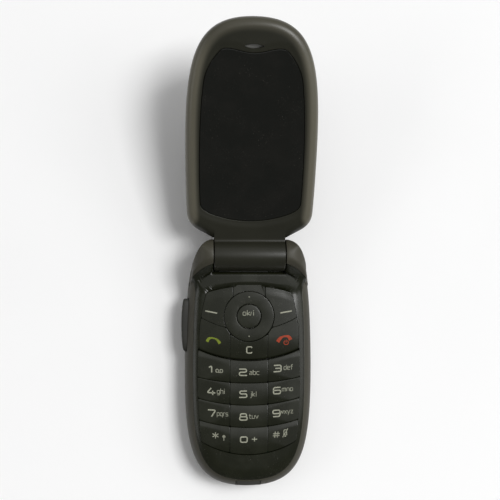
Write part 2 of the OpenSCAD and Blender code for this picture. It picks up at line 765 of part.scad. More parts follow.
lid_face = hinge_rise - closed_gap;
lid_back = lid_face - lid_t;
lid_seam = lid_face - 2.8;
lid_foot = 5.9;
neck_x = shoulder_x - 0.3;
lid_side_curve = [[half_w - 0.65, 14.6], [half_w - 0.4, 18], [half_w, 30], [half_w, 40]];
lid_corner_curve = [[half_w - 4.8, 8.5], [half_w - 2.7, 9.7], [half_w - 0.9, 11.3], [half_w - 0.65, 14.6]];
lid_tip_curve = [[half_w, 40], [half_w, reach - 11.3], [half_w - 4, reach], [0, reach]];
lid_outline = mirrored(concat(
    [[neck_x + 0.5, lid_foot]],
    curve(lid_corner_curve, 6), curve(lid_side_curve, 5), curve(lid_tip_curve, 14), [[0, reach]]
));
function lid_inset(inset) = drawn_in(lid_outline, lid_foot + half_w, reach - half_w, inset);
inner_round = 3;
outer_round = 6;
lid_wall = 1;
function inner_ring(a, more = 0, down = 0) =
    at_height(lid_inset(inner_round * (1 - cos(a)) + more), lid_seam + (lid_face - lid_seam) * sin(a) - down);
function outer_ring(a, more = 0, up = 0) =
    at_height(lid_inset(outer_round * (1 - cos(a)) + more), lid_seam - seam + (lid_back - lid_seam + seam) * sin(a) + up * sin(a));

side_lens_r = 158;
module lens_area(grow = 0) {
    difference() {
        intersection() {
            intersection_for (side = [-1, 1]) translate([-side * (side_lens_r - half_w + 4.7), 30])
                circle(r = side_lens_r + grow, $fn = 360);
            translate([0, lens_foot + 36.9]) circle(r = 36.9 + grow, $fn = 180);
            translate([0, lens_head - 100]) circle(r = 100 + grow, $fn = 360);
            union() {
                translate([0, lens_head - 20.4]) circle(r = 22.9 + grow, $fn = 120);
                translate([-half_w, 0]) square([body_w, lens_head - 20.4]);
            }
            union() {
                translate([0, 32]) circle(r = 22.3 + grow, $fn = 120);
                translate([-half_w, 32]) square([body_w, 60]);
            }
        }
        translate([0, lens_head + 10.9]) circle(r = 12 - grow, $fn = 96);
    }
}
lens_rest = lid_face - 0.15 - lens_t;     // the ledge that the window sits on
ledge_foot = lens_rest - 0.95;
display_at = [0, reach / 2 - 0.9];
ear_d = reach - 9.2;
sub_display_y = reach - 25.8;
lid_screw_at = [13.2, display_at.y - display_h / 2 - 2.6];

// Flats that keep the cartridge from turning
module cartridge_bar(gap, from, to) {
    intersection() {
        bar_x(cartridge_r + gap, from, to);
        translate([-40, -cartridge_r - 1, -cartridge_r + 0.4 - gap])
            cube([60, 2 * cartridge_r + 2, 2 * (cartridge_r - 0.4 + gap)]);
    }
}

module lid_inner_cover() {
    color(shell_grey) in_lid() difference() {
        union() {
            loft(concat(
                [inner_ring(90, wall - 0.6, lid_face - ledge_foot), inner_ring(40, wall, 1), inner_ring(0, wall, 0)],
                [for (a = [0, 25, 45, 65, 90]) inner_ring(a)]
            ));
            // Barrel and neck
            bar_x(barrel_r, -neck_x, neck_x);
            translate([-neck_x, 0, -barrel_r]) cube([2 * neck_x, 9, barrel_r + lid_face]);
            // Bosses for the screws
            both_sides() translate([lid_screw_at.x, lid_screw_at.y, lid_back + lid_wall + 0.1]) cylinder(r = 1.6, h = lens_rest - lid_back - lid_wall - 0.4);
        }
        // Seat of the window and the view through it
        translate([0, 0, lens_rest]) linear_extrude(4) lens_area(seam);
        translate([display_at.x - display_w / 2 + 1, display_at.y - display_h / 2 + 1, lid_back]) cube([display_w - 2, display_h - 2, lid_t]);
        // Earpiece: slot and seat
        translate([0, ear_d, -5]) for (side = [-1, 1]) translate([side * 3, 0, 0]) cylinder(r = 0.6, h = 9, $fn = 24);
        translate([-3, ear_d - 0.6, -5]) cube([6, 1.2, 9]);
        // Hinge cartridge on the left, sleeve and cable on the right
        cartridge_bar(fit, -neck_x - 1, -neck_x + cartridge_len + 0.2);
        bar_x(sleeve_r + 0.06, 5.6, neck_x + 1);
        bar_x(2, 2, neck_x);
        translate([2, -0.3, -4]) cube([3.2, 12.3, 2.4]);
        both_sides() translate([lid_screw_at.x, lid_screw_at.y, lid_back]) {
            cylinder(r = 0.7, h = lid_t - 2.2);
        }
    }
}
module lid_outer_cover() {
    color(shell_grey) in_lid() difference() {
        loft(concat(
            [for (a = [90, 70, 52, 35, 18, 0]) outer_ring(a)],
            [for (a = [0, 38, 68, 90]) outer_ring(a, lid_wall, lid_wall)]
        ));
        // Room for the neck
        translate([-neck_x - seam, 0, -barrel_r - seam]) cube([2 * (neck_x + seam), 12, 20]);
        // Seat and opening of the outer window
        translate([0, sub_display_y, lid_back - 1]) linear_extrude(1.6) outer_lens_area(seam);
        translate([-sub_display_w / 2 + 1, sub_display_y - sub_display_h / 2 + 1, lid_back - 1]) cube([sub_display_w - 2, sub_display_h - 2, 3]);
        both_sides() translate([lid_screw_at.x, lid_screw_at.y, lid_back - 1]) {
            cylinder(r = 0.75, h = 4);
            cylinder(r = 1.5, h = 1.9);
        }
    }
}
module outer_lens_area(grow = 0) {
    intersection() {
        circle(r = sub_display_w / 2 + 6 + grow, $fn = 120);
        translate([0, 24]) circle(r = sub_display_h / 2 + 27.5 + grow, $fn = 180);
        translate([0, -24]) circle(r = sub_display_h / 2 + 27.5 + grow, $fn = 180);
    }
}
module inner_lens() {
    color(gloss_black) in_lid() translate([0, 0, lens_rest]) linear_extrude(lens_t) lens_area();
}
module outer_lens() {
    color(gloss_black) in_lid() translate([0, sub_display_y, lid_back + 0.05]) linear_extrude(0.5) outer_lens_area();
}
display_top = ledge_foot - 0.05;
display_t = 1.8;
bracket_t = 0.3;
lid_board_t = 0.6;
lid_board_foot = display_top - display_t - bracket_t - lid_board_t - 0.05;
module main_display() {
    color(gloss_black) in_lid() translate([display_at.x - display_w / 2, display_at.y - display_h / 2, display_top - display_t])
        cube([display_w, display_h, display_t]);
}
module display_bracket() {
    color(steel) in_lid() translate([display_at.x - display_w / 2 - 0.4, display_at.y - display_h / 2 - 0.4, display_top - display_t - bracket_t]) difference() {
        cube([display_w + 0.8, display_h + 0.8, display_t + bracket_t - 0.3]);
        translate([0.35, 0.35, bracket_t]) cube([display_w + 0.1, display_h + 0.1, 5]);
        translate([6, 6, -1]) cube([display_w - 11.2, display_h - 11.2, 5]);
    }
}
module display_board() {
    color(board_green) in_lid() translate([-16, display_at.y - display_h / 2 - 0.8, lid_board_foot]) cube([32, ear_d - 5.8 - display_at.y + display_h / 2, lid_board_t]);
}
module sub_display() {
    color(gloss_black) in_lid() translate([-sub_display_w / 2, sub_display_y - sub_display_h / 2, lid_back + lid_wall])
        cube([sub_display_w, sub_display_h, lid_board_foot - lid_back - lid_wall]);
}
module earpiece() {
    color(steel) in_lid() translate([0, ear_d, ledge_foot - 3.2]) {
        cylinder(r = 4.6, h = 1.9);
        cylinder(r = 3.4, h = 2.4);
    }
}
module earpiece_mesh() {
    color(steel) in_lid() translate([-3.8, ear_d - 1.1, ledge_foot - 0.25]) cube([7.6, 2.2, 0.2]);
}
module lid_magnet() {
    color(steel) in_lid() translate([half_w - 13, reach - 8.6, lid_face - wall - 3.6]) cube([4, 2.5, 1.6]);
}
module lid_screws() {
    color(steel) in_lid() both_sides() translate([lid_screw_at.x, lid_screw_at.y, lid_back + 0.1]) {
        cylinder(r = 1.35, h = 0.75);
        cylinder(r = 0.65, h = 4.2);
    }
}
module hinge_cartridge() {
    color(steel) in_lid() difference() {
        cartridge_bar(0, -neck_x, -neck_x + cartridge_len);
        bar_x(cam_shaft_r + fit, -neck_x - 1, -shoulder_x + 7.8);
    }
}
module lid_flex() {
    color(gold) in_lid() {
        difference() {
            bar_x(1.7, 2.2, 5.4);
            bar_x(1.4, 2, 6);
        }
        translate([2.4, 0, -3.2]) cube([2.4, display_at.y - display_h / 2 - 0.5, 0.15]);
        translate([2.4, display_at.y - display_h / 2 - 0.65, lid_board_foot + lid_board_t]) cube([2.4, 0.15, -3.2 - lid_board_foot - lid_board_t + 0.1]);
        translate([2.4, -0.08, -3.2]) cube([2.4, 0.16, 1.7]);
    }
}

// One line for each separate part

rear_cover();
front_cover();
battery_cover();
battery_pack();
main_board();
shield_cans();
dome_sheet();
key_mat();
microphone();
system_connector();
sim_holder();
loudspeaker();
vibration_motor();
vibration_weight();
antenna();
backup_cell();
battery_contacts();
side_key();
side_switches();
base_screws();
hinge_cam();
hinge_sleeve();
board_flex();
lid_inner_cover();
lid_outer_cover();
inner_lens();
outer_lens();
main_display();
sub_display();
display_board();
display_bracket();
earpiece();
earpiece_mesh();
lid_magnet();
lid_screws();
hinge_cartridge();
lid_flex();
nav_web();
nav_key();
key_select();
key_clear();
soft_key();  // key_soft_left
mirror([1, 0, 0]) soft_key();  // key_soft_right
call_key();  // key_call
mirror([1, 0, 0]) call_key();  // key_end
digit_key(0);  // key_1
digit_key(1);  // key_2
digit_key(2);  // key_3
digit_key(3);  // key_4
digit_key(4);  // key_5
digit_key(5);  // key_6
digit_key(6);  // key_7
digit_key(7);  // key_8
digit_key(8);  // key_9
digit_key(9);  // key_star
digit_key(10);  // key_0
digit_key(11);  // key_hash
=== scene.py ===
# %% [markdown]
# # A clamshell phone, open on its back
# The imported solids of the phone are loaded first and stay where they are. Everything that is seen from outside is then
# made again as a smooth surface on the same measures. A boolean model could be shown as it is, but moulded plastic
# gives its curves away in its reflections, so the skins are worked out finer here. The parts inside the housing keep
# their solids and only get a finish.

# %% Load the solids
import json
import math
import bpy
import numpy as np
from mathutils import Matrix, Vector

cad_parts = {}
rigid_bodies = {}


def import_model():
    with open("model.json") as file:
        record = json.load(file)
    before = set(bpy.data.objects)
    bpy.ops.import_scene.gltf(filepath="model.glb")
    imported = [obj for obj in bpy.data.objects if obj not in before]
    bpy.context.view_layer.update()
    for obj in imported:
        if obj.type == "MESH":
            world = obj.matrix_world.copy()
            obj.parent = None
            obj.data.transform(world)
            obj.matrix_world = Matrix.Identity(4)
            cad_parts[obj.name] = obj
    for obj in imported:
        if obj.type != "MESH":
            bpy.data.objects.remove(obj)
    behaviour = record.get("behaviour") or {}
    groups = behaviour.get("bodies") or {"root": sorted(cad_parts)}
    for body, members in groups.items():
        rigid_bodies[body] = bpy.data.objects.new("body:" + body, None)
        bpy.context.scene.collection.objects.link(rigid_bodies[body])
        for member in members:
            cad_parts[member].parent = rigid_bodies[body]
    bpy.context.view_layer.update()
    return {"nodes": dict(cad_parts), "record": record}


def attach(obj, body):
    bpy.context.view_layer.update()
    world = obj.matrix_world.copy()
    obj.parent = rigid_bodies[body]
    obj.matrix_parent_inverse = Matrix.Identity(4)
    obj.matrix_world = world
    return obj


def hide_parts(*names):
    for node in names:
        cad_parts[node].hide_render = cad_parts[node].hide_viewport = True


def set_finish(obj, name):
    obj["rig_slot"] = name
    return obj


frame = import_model()

# %% [markdown]
# ## Measures
# A maker works in millimetres from the hinge, because both halves turn about it. So the keypad half is drawn with the
# hinge axis over y = 0, and the lid is drawn flat beyond it. Blender works in metres, and the lid stands open. Two
# small functions carry the drawings to their places, and nothing else has to know about either.

# %% Measures of the phone, in millimetres
HALF_W = 22.0            # half the width of both halves
REACH = 79.8             # from the hinge axis to either end
BASE_T = 13.2            # thickness of the keypad half
HINGE_Y = 37.1           # place of the hinge axis
HINGE_Z = 14.0
TILT = math.radians(19)  # the lid rises by this angle beyond the hinge
MID_Z = 7.0              # height of the widest place
SEAM_Z = 11.8            # seam between front and rear cover
SHOULDER_R = 5.6         # radius of the shoulders that carry the hinge
SHOULDER_X = 12.4        # from the middle to their inner faces
BACK_ROUND = 6.5         # width of the round from the back to the sides
FACE_ROUND = 7           # width of the round from the sides to the face
WALL = 1.2               # wall of the covers
GAP = 0.1                # gap in a seam


def in_base(p):
    """From the drawing of the keypad half to the phone's place: shift along Y, then millimetres to metres."""
    return (np.asarray(p, float) + [0, HINGE_Y, 0]) * 0.001


def in_lid(p):
    """From the flat drawing of the lid to its open place: turn about the hinge axis, shift to it, then to metres."""
    p = np.asarray(p, float)
    c, s = math.cos(TILT), math.sin(TILT)
    x, y, z = p[..., 0], p[..., 1], p[..., 2]
    return np.stack([x, y * c - z * s + HINGE_Y, y * s + z * c + HINGE_Z], -1) * 0.001


print("keypad half", 2 * HALF_W, "x", REACH + SHOULDER_R, "x", BASE_T, "mm")

# %% [markdown]
# ## Soft steps and soft corners
# A toolmaker never leaves a sharp inner corner, and a moulding never has one. Such corners could be bevelled on the
# mesh afterwards. Here they are part of the formulas, because a height that is already rounded needs no repair.

# %% Steps, blends and rounded edges
def ease(a, b, v):
    """Smooth step: 0 below a, 1 above b, and t*t*(3-2t) between them."""
    t = np.clip((v - a) / (b - a), 0, 1)
    return t * t * (3 - 2 * t)


def smooth_max(a, b, k):
    """The larger of a and b, with the corner between them filled by a parabola k wide."""
    h = np.clip(k - np.abs(a - b), 0, None) / k
    return np.maximum(a, b) + h * h * k / 4


def smooth_min(a, b, k):
    """The smaller of a and b, with the corner between them cut by the same parabola."""
    return -smooth_max(-a, -b, k)


def rounded(d, r):
    """Drop of a surface at distance d from its rim, for an edge of radius r: r minus the height of a quarter circle."""
    u = np.clip(r - d, 0, r)
    return r - np.sqrt(r * r - u * u)


print("an edge of 0.3 mm has dropped by", round(float(rounded(0.1, 0.3)), 3), "mm a tenth from its rim")

# %% [markdown]
# ## Outlines seen from above
# Both halves are drawn as a few curves on one side and mirrored. The levels of a rounded side are the same outline
# drawn in, like the contour lines of a hill. A plain scale would thin the ends too much, so every point moves towards
# the middle line instead.

# %% Curves and outlines
def curve(points, n):
    """Cubic Bezier curve through its four control points as n points, without the last one."""
    t = (np.arange(n) / n)[:, None]
    p = np.array(points, float)
    return (1 - t) ** 3 * p[0] + 3 * t * (1 - t) ** 2 * p[1] + 3 * t * t * (1 - t) * p[2] + t ** 3 * p[3]


def line(a, b, n):
    """n points from a towards b, without b."""
    return np.array(a, float) + (np.array(b, float) - np.array(a, float)) * (np.arange(n) / n)[:, None]


def circle(cx, cy, r, n=96):
    """n points at distance r from a centre."""
    a = np.arange(n) * 2 * np.pi / n
    return np.column_stack([cx + r * np.cos(a), cy + r * np.sin(a)])


def mirrored(half):
    """A right-hand half outline from the foot up, closed by its mirror image."""
    other = half[1:][::-1] * [-1, 1]
    return np.concatenate([half, other[np.abs(other[:, 0]) > 1e-6]])


def drawn_in(outline, low, high, inset):
    """Every point moves towards a middle line from y = low to y = high by inset / HALF_W of its distance."""
    centre = np.stack([0 * outline[:, 0], np.clip(outline[:, 1], low, high)], 1)
    keep = 1 - np.broadcast_to(inset, len(outline)) / HALF_W
    return centre + (outline - centre) * keep[:, None]


def at_height(outline, z):
    """The points of an outline with z as their third number."""
    return np.column_stack([outline, np.broadcast_to(z, len(outline))])


print("a circle of", len(circle(0, 0, 1)), "points")

# %% [markdown]
# ## From rings to meshes
# Each surface is a stack of closed rings, and a mesh is the rings joined by quads. Each ring is a whole array of
# points, so no point is handled by itself. Openings could be modelled into the rings, but they cross many of them. They
# are cut with the Boolean modifier, which is applied at once, so that the next step sees a plain mesh.

# %% Shapes from rings
def loft(rings, closed=False):
    """Vertices and outward faces of a stack of rings, counter-clockwise seen from the last one. The ends are capped,
    or joined to each other where closed is set."""
    p = np.array(rings, float)
    k, n = p.shape[:2]
    a = np.arange(k * n).reshape(k, n)
    top = np.roll(a, -1, 0) if closed else a[1:]
    low = a if closed else a[:-1]
    quads = np.stack([low, np.roll(low, -1, 1), np.roll(top, -1, 1), top], -1).reshape(-1, 4).tolist()
    if not closed:
        quads += [a[0][::-1].tolist(), a[-1].tolist()]
    return p.reshape(-1, 3), quads


def prism(outline, low, high):
    """An outline seen from above, carried straight up."""
    return loft([at_height(outline, low), at_height(outline, high)])


def drill(x, y, steps):
    """A turned cutter: a circle of radius r at height z for each (z, r) of steps."""
    return loft([at_height(circle(x, y, r, 40), z) for z, r in steps])


def bar(profile, x0, x1):
    """A profile in y and z, carried along X."""
    p = np.asarray(profile, float)
    return loft([np.column_stack([np.full(len(p), x), p]) for x in (x0, x1)])


def box(x0, x1, y0, y1, z0, z1):
    """A block between two values on each axis."""
    return prism(np.array([[x0, y0], [x1, y0], [x1, y1], [x0, y1]], float), z0, z1)


print("a box has", len(box(0, 1, 0, 1, 0, 1)[1]), "faces")

# %% Objects and cuts
def together(*shapes):
    """Several vertex and face lists as one."""
    verts, faces, start = [], [], 0
    for v, f in shapes:
        verts.append(v)
        faces += [[i + start for i in face] for face in f]
        start += len(v)
    return np.concatenate(verts), faces


def solid(name, shape, place=in_base):
    """A mesh object from vertices and faces, carried to its place in the frame."""
    verts, faces = shape
    mesh = bpy.data.meshes.new(name)
    mesh.from_pydata(place(verts).tolist(), [], faces)
    mesh.update()
    obj = bpy.data.objects.new(name, mesh)
    bpy.context.scene.collection.objects.link(obj)
    return obj


def cut(piece, tool, operation="DIFFERENCE"):
    """Boolean of piece with tool, applied at once. The tool is used up."""
    m = piece.modifiers.new("cut", "BOOLEAN")
    m.operation, m.solver, m.object = operation, "MANIFOLD", tool
    made = bpy.data.meshes.new_from_object(piece.evaluated_get(bpy.context.evaluated_depsgraph_get()))
    piece.modifiers.clear()
    old, piece.data = piece.data, made
    bpy.data.meshes.remove(old)
    bpy.data.objects.remove(tool)
    return piece


print("two boxes together have", len(together(box(0, 1, 0, 1, 0, 1), box(2, 3, 0, 1, 0, 1))[1]), "faces")

# %% [markdown]
# ## What every piece gets
# A finished piece has a name, smooth shading, a finish and a body to ride on. Shading everything smooth would smear the
# light over real edges, and shading it flat would show every quad. So edges above an angle stay sharp.

# %% Name, shading, slot and body of a piece
SHARP = 38               # degrees


def finish(piece, name, slot, body, *nodes):
    """Smooth shading up to an angle, the slot of its finish, the body it moves with and the solids it stands for."""
    piece.name = piece.data.name = name
    piece.data.shade_smooth()
    piece.data.set_sharp_from_angle(angle=math.radians(SHARP))
    if slot:
        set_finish(piece, slot)
    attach(piece, body)
    if nodes:
        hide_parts(*nodes)
    print(name, len(piece.data.polygons), "faces")
    return piece


print("edges sharper than", SHARP, "degrees stay sharp")

# %% [markdown]
# ## The skin of the keypad half
# Seen from above the keypad half is a long rounded shape. Seen along its length it is two quarter ellipses, one from
# the flat back to the widest place and one from there to the face. The corners next to the hinge swell up round the
# barrel. The covers could be made one by one. One skin carries all of them here and is then divided, so that they meet
# without a step, as mouldings from one master model do.

# %% Outline of the keypad half
STEPS = 64
STEEP = 0.85             # share of the face's round that goes where the sides stand upright near the hinge
base_half = np.concatenate([
    curve([[0, -REACH], [HALF_W - 2.8, -REACH], [HALF_W, 11.5 - REACH], [HALF_W, -38]], STEPS),
    curve([[HALF_W, -38], [HALF_W - 0.2, -14], [HALF_W - 1, SHOULDER_R - 1.1], [SHOULDER_X + 0.4, SHOULDER_R]], STEPS),
    line([SHOULDER_X + 0.4, SHOULDER_R], [0, SHOULDER_R], 30), [[0, SHOULDER_R]]])
BASE = mirrored(base_half)
UPRIGHT = 1 - STEEP * ease(-13, -4, BASE[:, 1])


def base_inset(inset):
    """The outline drawn in towards the middle line between its two round ends."""
    return drawn_in(BASE, HALF_W - REACH, SHOULDER_R - HALF_W, inset)


def back_rings(angles, inset=0.0, floor=0.0):
    """Quarter ellipse from the back (90 degrees) to the widest place (0), drawn in and raised for a wall's inside."""
    return [at_height(base_inset(BACK_ROUND * (1 - math.cos(a)) + inset), floor + (MID_Z - floor) * (1 - math.sin(a)))
            for a in np.radians(angles)]


print("outline of the keypad half:", len(BASE), "points")

# %% [markdown]
# ## The swollen corners
# Next to the hinge the housing swells up into two shoulders. Each is round from the side and round from the end, and it
# has to stay clear of the lid that swings past it. Three separate solids could be joined for that. Here they are three
# heights, and the lowest of them, with soft corners, is the shoulder.

# %% Height of the shoulders
SLOPE = 9.5              # length over which a shoulder runs out into the face
SHOULDER_W = 7.4         # width of its round end
CONE_R, CONE_X, CONE_RISE = 5.3, 11.9, 0.53  # cone about the hinge axis: radius at a place, and its growth outwards
BLEND = 0.5              # width of the soft corners between the three


def swell(x, y):
    """Height of the shoulders: the lowest of a round side view, a round end view and the cone. Past its foot and past
    its outer end the height sinks below the face, so that a shoulder ends in a curve and not in a step."""
    x = np.abs(x)
    top = HINGE_Z + SHOULDER_R
    side = np.where(y > 0, HINGE_Z + np.sqrt(np.clip(SHOULDER_R ** 2 - y ** 2, 0, None)),
                    BASE_T - 0.2 + (top - BASE_T + 0.2) * (1 - ease(0, 1, -y / SLOPE)) - 4 * ease(7.5, 11.5, -y))
    u = np.clip((x - SHOULDER_X) / SHOULDER_W, 0, 1)
    end = BASE_T - 1 + (top - BASE_T + 1) * np.sqrt(1 - u * u) - 4 * ease(19.2, 21.6, x)
    r = CONE_R + (x - CONE_X) * CONE_RISE
    cone = np.where(np.abs(y) < r, HINGE_Z + np.sqrt(np.clip(r * r - y * y, 0, None)), 5 + 0 * y)
    low = smooth_min(smooth_min(side, end, BLEND), cone, BLEND)
    return np.where((x > 11) & (y > -11.5) & (x < 21.6), low, 5.0)


def face_ring(inset, z):
    """A level of the face: upright sides near the hinge, and lifted to the shoulders."""
    d = np.minimum(inset, FACE_ROUND) * UPRIGHT + max(inset - FACE_ROUND, 0)
    ring = at_height(base_inset(d), z)
    if inset > 0.01:
        ring[:, 2] = smooth_max(ring[:, 2], swell(ring[:, 0], ring[:, 1]), 0.7)
    return ring


print("top of the shoulders:", round(float(swell(np.array([14.0]), np.array([0.0]))[0]), 2), "mm")

# %% [markdown]
# ## The whole skin
# The levels run from the middle of the back round the side to the middle of the face. A seam between two mouldings
# shows as a thin dark line, so the skin has a shallow groove there, with a few levels close together to carry it.

# %% Skin of the keypad half
def base_skin(groove=0.12, hollows=None, levels=30):
    """Closed skin: quarter ellipses from the back to the face, with a shallow groove along the seam. The face is sunk
    by hollows(x, y) where that is given."""
    back = [at_height(base_inset(20), 0)] + back_rings(np.linspace(90, 0, 15))
    seam = math.asin((SEAM_Z - MID_Z) / (BASE_T - MID_Z))
    near_seam = seam + np.array([-0.03, -0.012, 0.008, 0.028, 0.05])
    face = []
    for a in np.unique(np.concatenate([np.radians(np.linspace(4, 90, 22)), near_seam])):
        dip = groove * max(0, 1 - abs(a - seam - 0.008) / 0.03)
        face.append(face_ring(FACE_ROUND * (1 - math.cos(a)) + dip, MID_Z + (BASE_T - MID_Z) * math.sin(a)))
    crown = [face_ring(FACE_ROUND + d, BASE_T + 0.08 * d / 15) for d in np.linspace(0.4, 14.6, levels)]
    if hollows:
        for ring in face[-8:] + crown:
            ring[:, 2] -= hollows(ring[:, 0], ring[:, 1])
    return loft(back + face + crown)


print("the skin has", len(base_skin()[0]), "points")

# %% [markdown]
# ## Where the skin is divided
# The front cover is everything above the seam but the two corners, which belong to the shoulders of the rear cover. The
# barrel of the lid turns in a trough between the shoulders. Both are cutters: an outline carried up, and a side view
# carried across.

# %% Front cover's outline, and the trough of the barrel
CORNER = (8, -17)        # centre of the arcs that part the corners from the front cover
CORNER_R = 15
CORNER_X = 11.9          # the arcs end here, beside the trough
TROUGH_R = 5.5


def cover_region(radius):
    """Seen from above, everything that belongs to the front cover: all but the two corners beyond an arc."""
    t = np.linspace(0, math.acos((CORNER_X - CORNER[0]) / radius), 40)
    arc = np.column_stack([CORNER[0] + radius * np.cos(t), CORNER[1] + radius * np.sin(t)])
    return mirrored(np.concatenate([[[0, -95], [30, -95], [30, CORNER[1]]], arc, [[CORNER_X, 12], [0, 12]]]))


def barrel_room():
    """Room for the hinge barrel: a circle about the axis, open upwards and along the swing of the lid's neck."""
    t = np.linspace(np.pi, 1.5 * np.pi + TILT, 48)
    arc = np.column_stack([TROUGH_R * np.cos(t), TROUGH_R * np.sin(t)])
    out = arc[-1] + 22 * np.array([math.cos(TILT), math.sin(TILT)])
    profile = np.concatenate([arc, [out, [out[0], 14], [-TROUGH_R, 14]]]) + [0, HINGE_Z]
    return bar(profile, -SHOULDER_X, SHOULDER_X)


print("front cover's outline:", len(cover_region(CORNER_R)), "points")

# %% [markdown]
# ## Key field
# The openings and the keys follow a few large circles. They could be drawn as curves one by one. A region is written
# here as the distance to the nearest of its edges, so the same words give a key, its opening with a gap all round, and
# the soft rounding of its rim. The outline is where a fan of rays from the middle leaves the region.

# %% Regions as distances
def inside(cx, cy, r):
    """Distance to a circle, above 0 inside it."""
    return lambda x, y: r - np.hypot(x - cx, y - cy)


def outside(cx, cy, r):
    """Distance to a circle, above 0 outside it."""
    return lambda x, y: np.hypot(x - cx, y - cy) - r


def right_of(v):
    """Distance to the line x = v, above 0 on its right."""
    return lambda x, y: x - v + 0 * y


def left_of(v):
    """Distance to the line x = v, above 0 on its left."""
    return lambda x, y: v - x + 0 * y


def higher(v):
    """Distance to the line y = v, above 0 towards the hinge."""
    return lambda x, y: y - v + 0 * x


def lower(v):
    """Distance to the line y = v, above 0 towards the foot."""
    return lambda x, y: v - y + 0 * x


print("the middle of a circle of 5 mm is", round(float(inside(0, 0, 5)(0, 0)), 1), "mm from its edge")

# %% Regions joined
def all_of(*parts, blend=0.5):
    """Distance to the nearest edge of the meeting of several regions, with corners rounded over blend."""
    def distance(x, y):
        d = parts[0](x, y)
        for p in parts[1:]:
            d = smooth_min(d, p(x, y), blend)
        return d
    return distance


def any_of(*parts):
    """The union of several regions: the largest of their distances."""
    return lambda x, y: np.maximum.reduce([p(x, y) for p in parts])


def shrunk(region, by):
    """A region whose edges all move inwards."""
    return lambda x, y: region(x, y) - by


print("a lens of two circles is", round(float(all_of(inside(-3, 0, 5), inside(3, 0, 5))(0, 0)), 2), "mm to its edge")

# %% The outline of a region
def outline_of(region, centre, n, grow=0.0):
    """Where n rays from a centre leave a region grown by a distance: first step outside, then halving."""
    a = (np.arange(n) + 0.5) * 2 * np.pi / n - np.pi / 2
    d = np.column_stack([np.cos(a), np.sin(a)])
    r = np.arange(0, 60, 0.1)
    p = np.array(centre)[None, None] + d[:, None] * r[None, :, None]
    out = region(p[..., 0], p[..., 1]) + grow < 0
    hi = r[np.argmax(out, axis=1)]
    lo = hi - 0.1
    for _ in range(24):
        mid = (lo + hi) / 2
        q = np.array(centre) + d * mid[:, None]
        good = region(q[:, 0], q[:, 1]) + grow > 0
        lo, hi = np.where(good, mid, lo), np.where(good, hi, mid)
    return np.array(centre) + d * lo[:, None]


def flared(region, centre, n, steps):
    """A cutter whose level at height z is the outline of a region grown by g, for each (z, g) of steps."""
    return loft([at_height(outline_of(region, centre, n, g), z) for z, g in steps])


print("a circle found by rays:", round(float(np.ptp(outline_of(inside(0, 0, 5), (0, 0), 64)[:, 0])), 2), "mm wide")

# %% [markdown]
# ## The arcs of the keypad
# The rows of number keys hang in shallow arcs that grow flatter and then rounder towards the foot, so each seam has its
# own radius. The upper keys fill a field under a large arc, round the four-way key. Just inside that arc the face and
# the keys start a little low, and just outside it the face sinks, which gives the dark line over the keys.

# %% Rows, columns and fields
ROW_R = [41, 75, 61, 55, 31]                           # radius of the seams between the rows
ROW_Y = [-36 - 7.6 * k for k in range(4)] + [-68.2]    # where the seams cross the middle
NAV = (0, -20.8)                                       # middle of the four-way key
NAV_R, SELECT_R = 8.6, 4.1
BRIDGE = 5.4                                           # half width of the bridge that holds the four-way key
COLUMN_X = 6.5                                         # from the middle to the seams between the columns
KEY_GAP = 0.2
SUNK = 0.7                                             # depth of the hollow in the face before the keys' head


def above_seam(k, grow=0.0):
    """Inside the circle of seam k."""
    return inside(0, ROW_Y[k] + ROW_R[k], ROW_R[k] + grow)


def below_seam(k, grow=0.0):
    """Outside the circle of seam k."""
    return outside(0, ROW_Y[k] + ROW_R[k], ROW_R[k] - grow)


def pad_sides():
    """The number keys' field without its head: two flat arcs at the sides, a round foot and the last seam."""
    foot = any_of(inside(0, -48, 23), higher(-48))
    return all_of(above_seam(4), inside(-202.4, -40, 220), inside(202.4, -40, 220), foot, blend=0.6)


head_arc = inside(0, -57.75, 47.5)
head_field = all_of(above_seam(0), head_arc, inside(-42.8, -30, 60), inside(42.8, -30, 60), blend=0.6)
pad_field = all_of(pad_sides(), below_seam(0, 0.6), blend=0.3)


def head_dip(x, y):
    """Inside the head arc the face and the keys begin 0.15 mm low and are level again 3 mm further on."""
    return 0.15 * (1 - ease(0, 3, head_arc(x, y))) * (1 - ease(12, 17, np.abs(x)))


def face_hollows(x, y):
    """How far the face is sunk: outside the head arc by SUNK over the last 1.3 mm, inside it by the dip, and round the
    corner of the trough it rolls down to the barrel."""
    d = head_arc(x, y)
    roll = np.hypot(np.clip(np.abs(x) - SHOULDER_X, 0, None), np.clip(-SHOULDER_R - y, 0, None))
    step = SUNK * ease(-1.3, 0, d) * (1 - ease(12, 17, np.abs(x)))
    return np.where(d < 0, step, head_dip(x, y)) + rounded(roll, 1.3) * 0.7


def opening(region, centre):
    """A cutter for an opening in the face whose upper edge is rounded: the outline grows as it nears the surface."""
    level = BASE_T - 0.05
    steps = [(-8, 0), (-0.2, 0), (-0.12, 0.01), (-0.05, 0.03), (0.0, 0.07), (0.05, 0.12), (1, 0.16)]
    return flared(region, centre, 360, [(level + z, g) for z, g in steps])


print("seams between the rows at y =", [round(y, 1) for y in ROW_Y])

# %% [markdown]
# ## Front cover
# The front cover is a glossy moulding: the skin above the seam, hollow underneath, with two openings for the keys, a
# bridge round the four-way key and a trough for the barrel. It is made as it would be milled, a full block of skin from
# which everything else is taken, because each cut is then one short line.

# %% Front cover
SOCKET = box(-4.4, 4.4, -82, -74.5, 9.0, 11.5)         # charging socket at the foot
angle = np.arange(24) * np.pi / 12
SOUND = loft([np.column_stack([6.3 + 0.4 * np.cos(angle), np.full(24, y), 10.1 + 0.4 * np.sin(angle)])
              for y in (-70.0, -82.0)])                # sound hole of the microphone

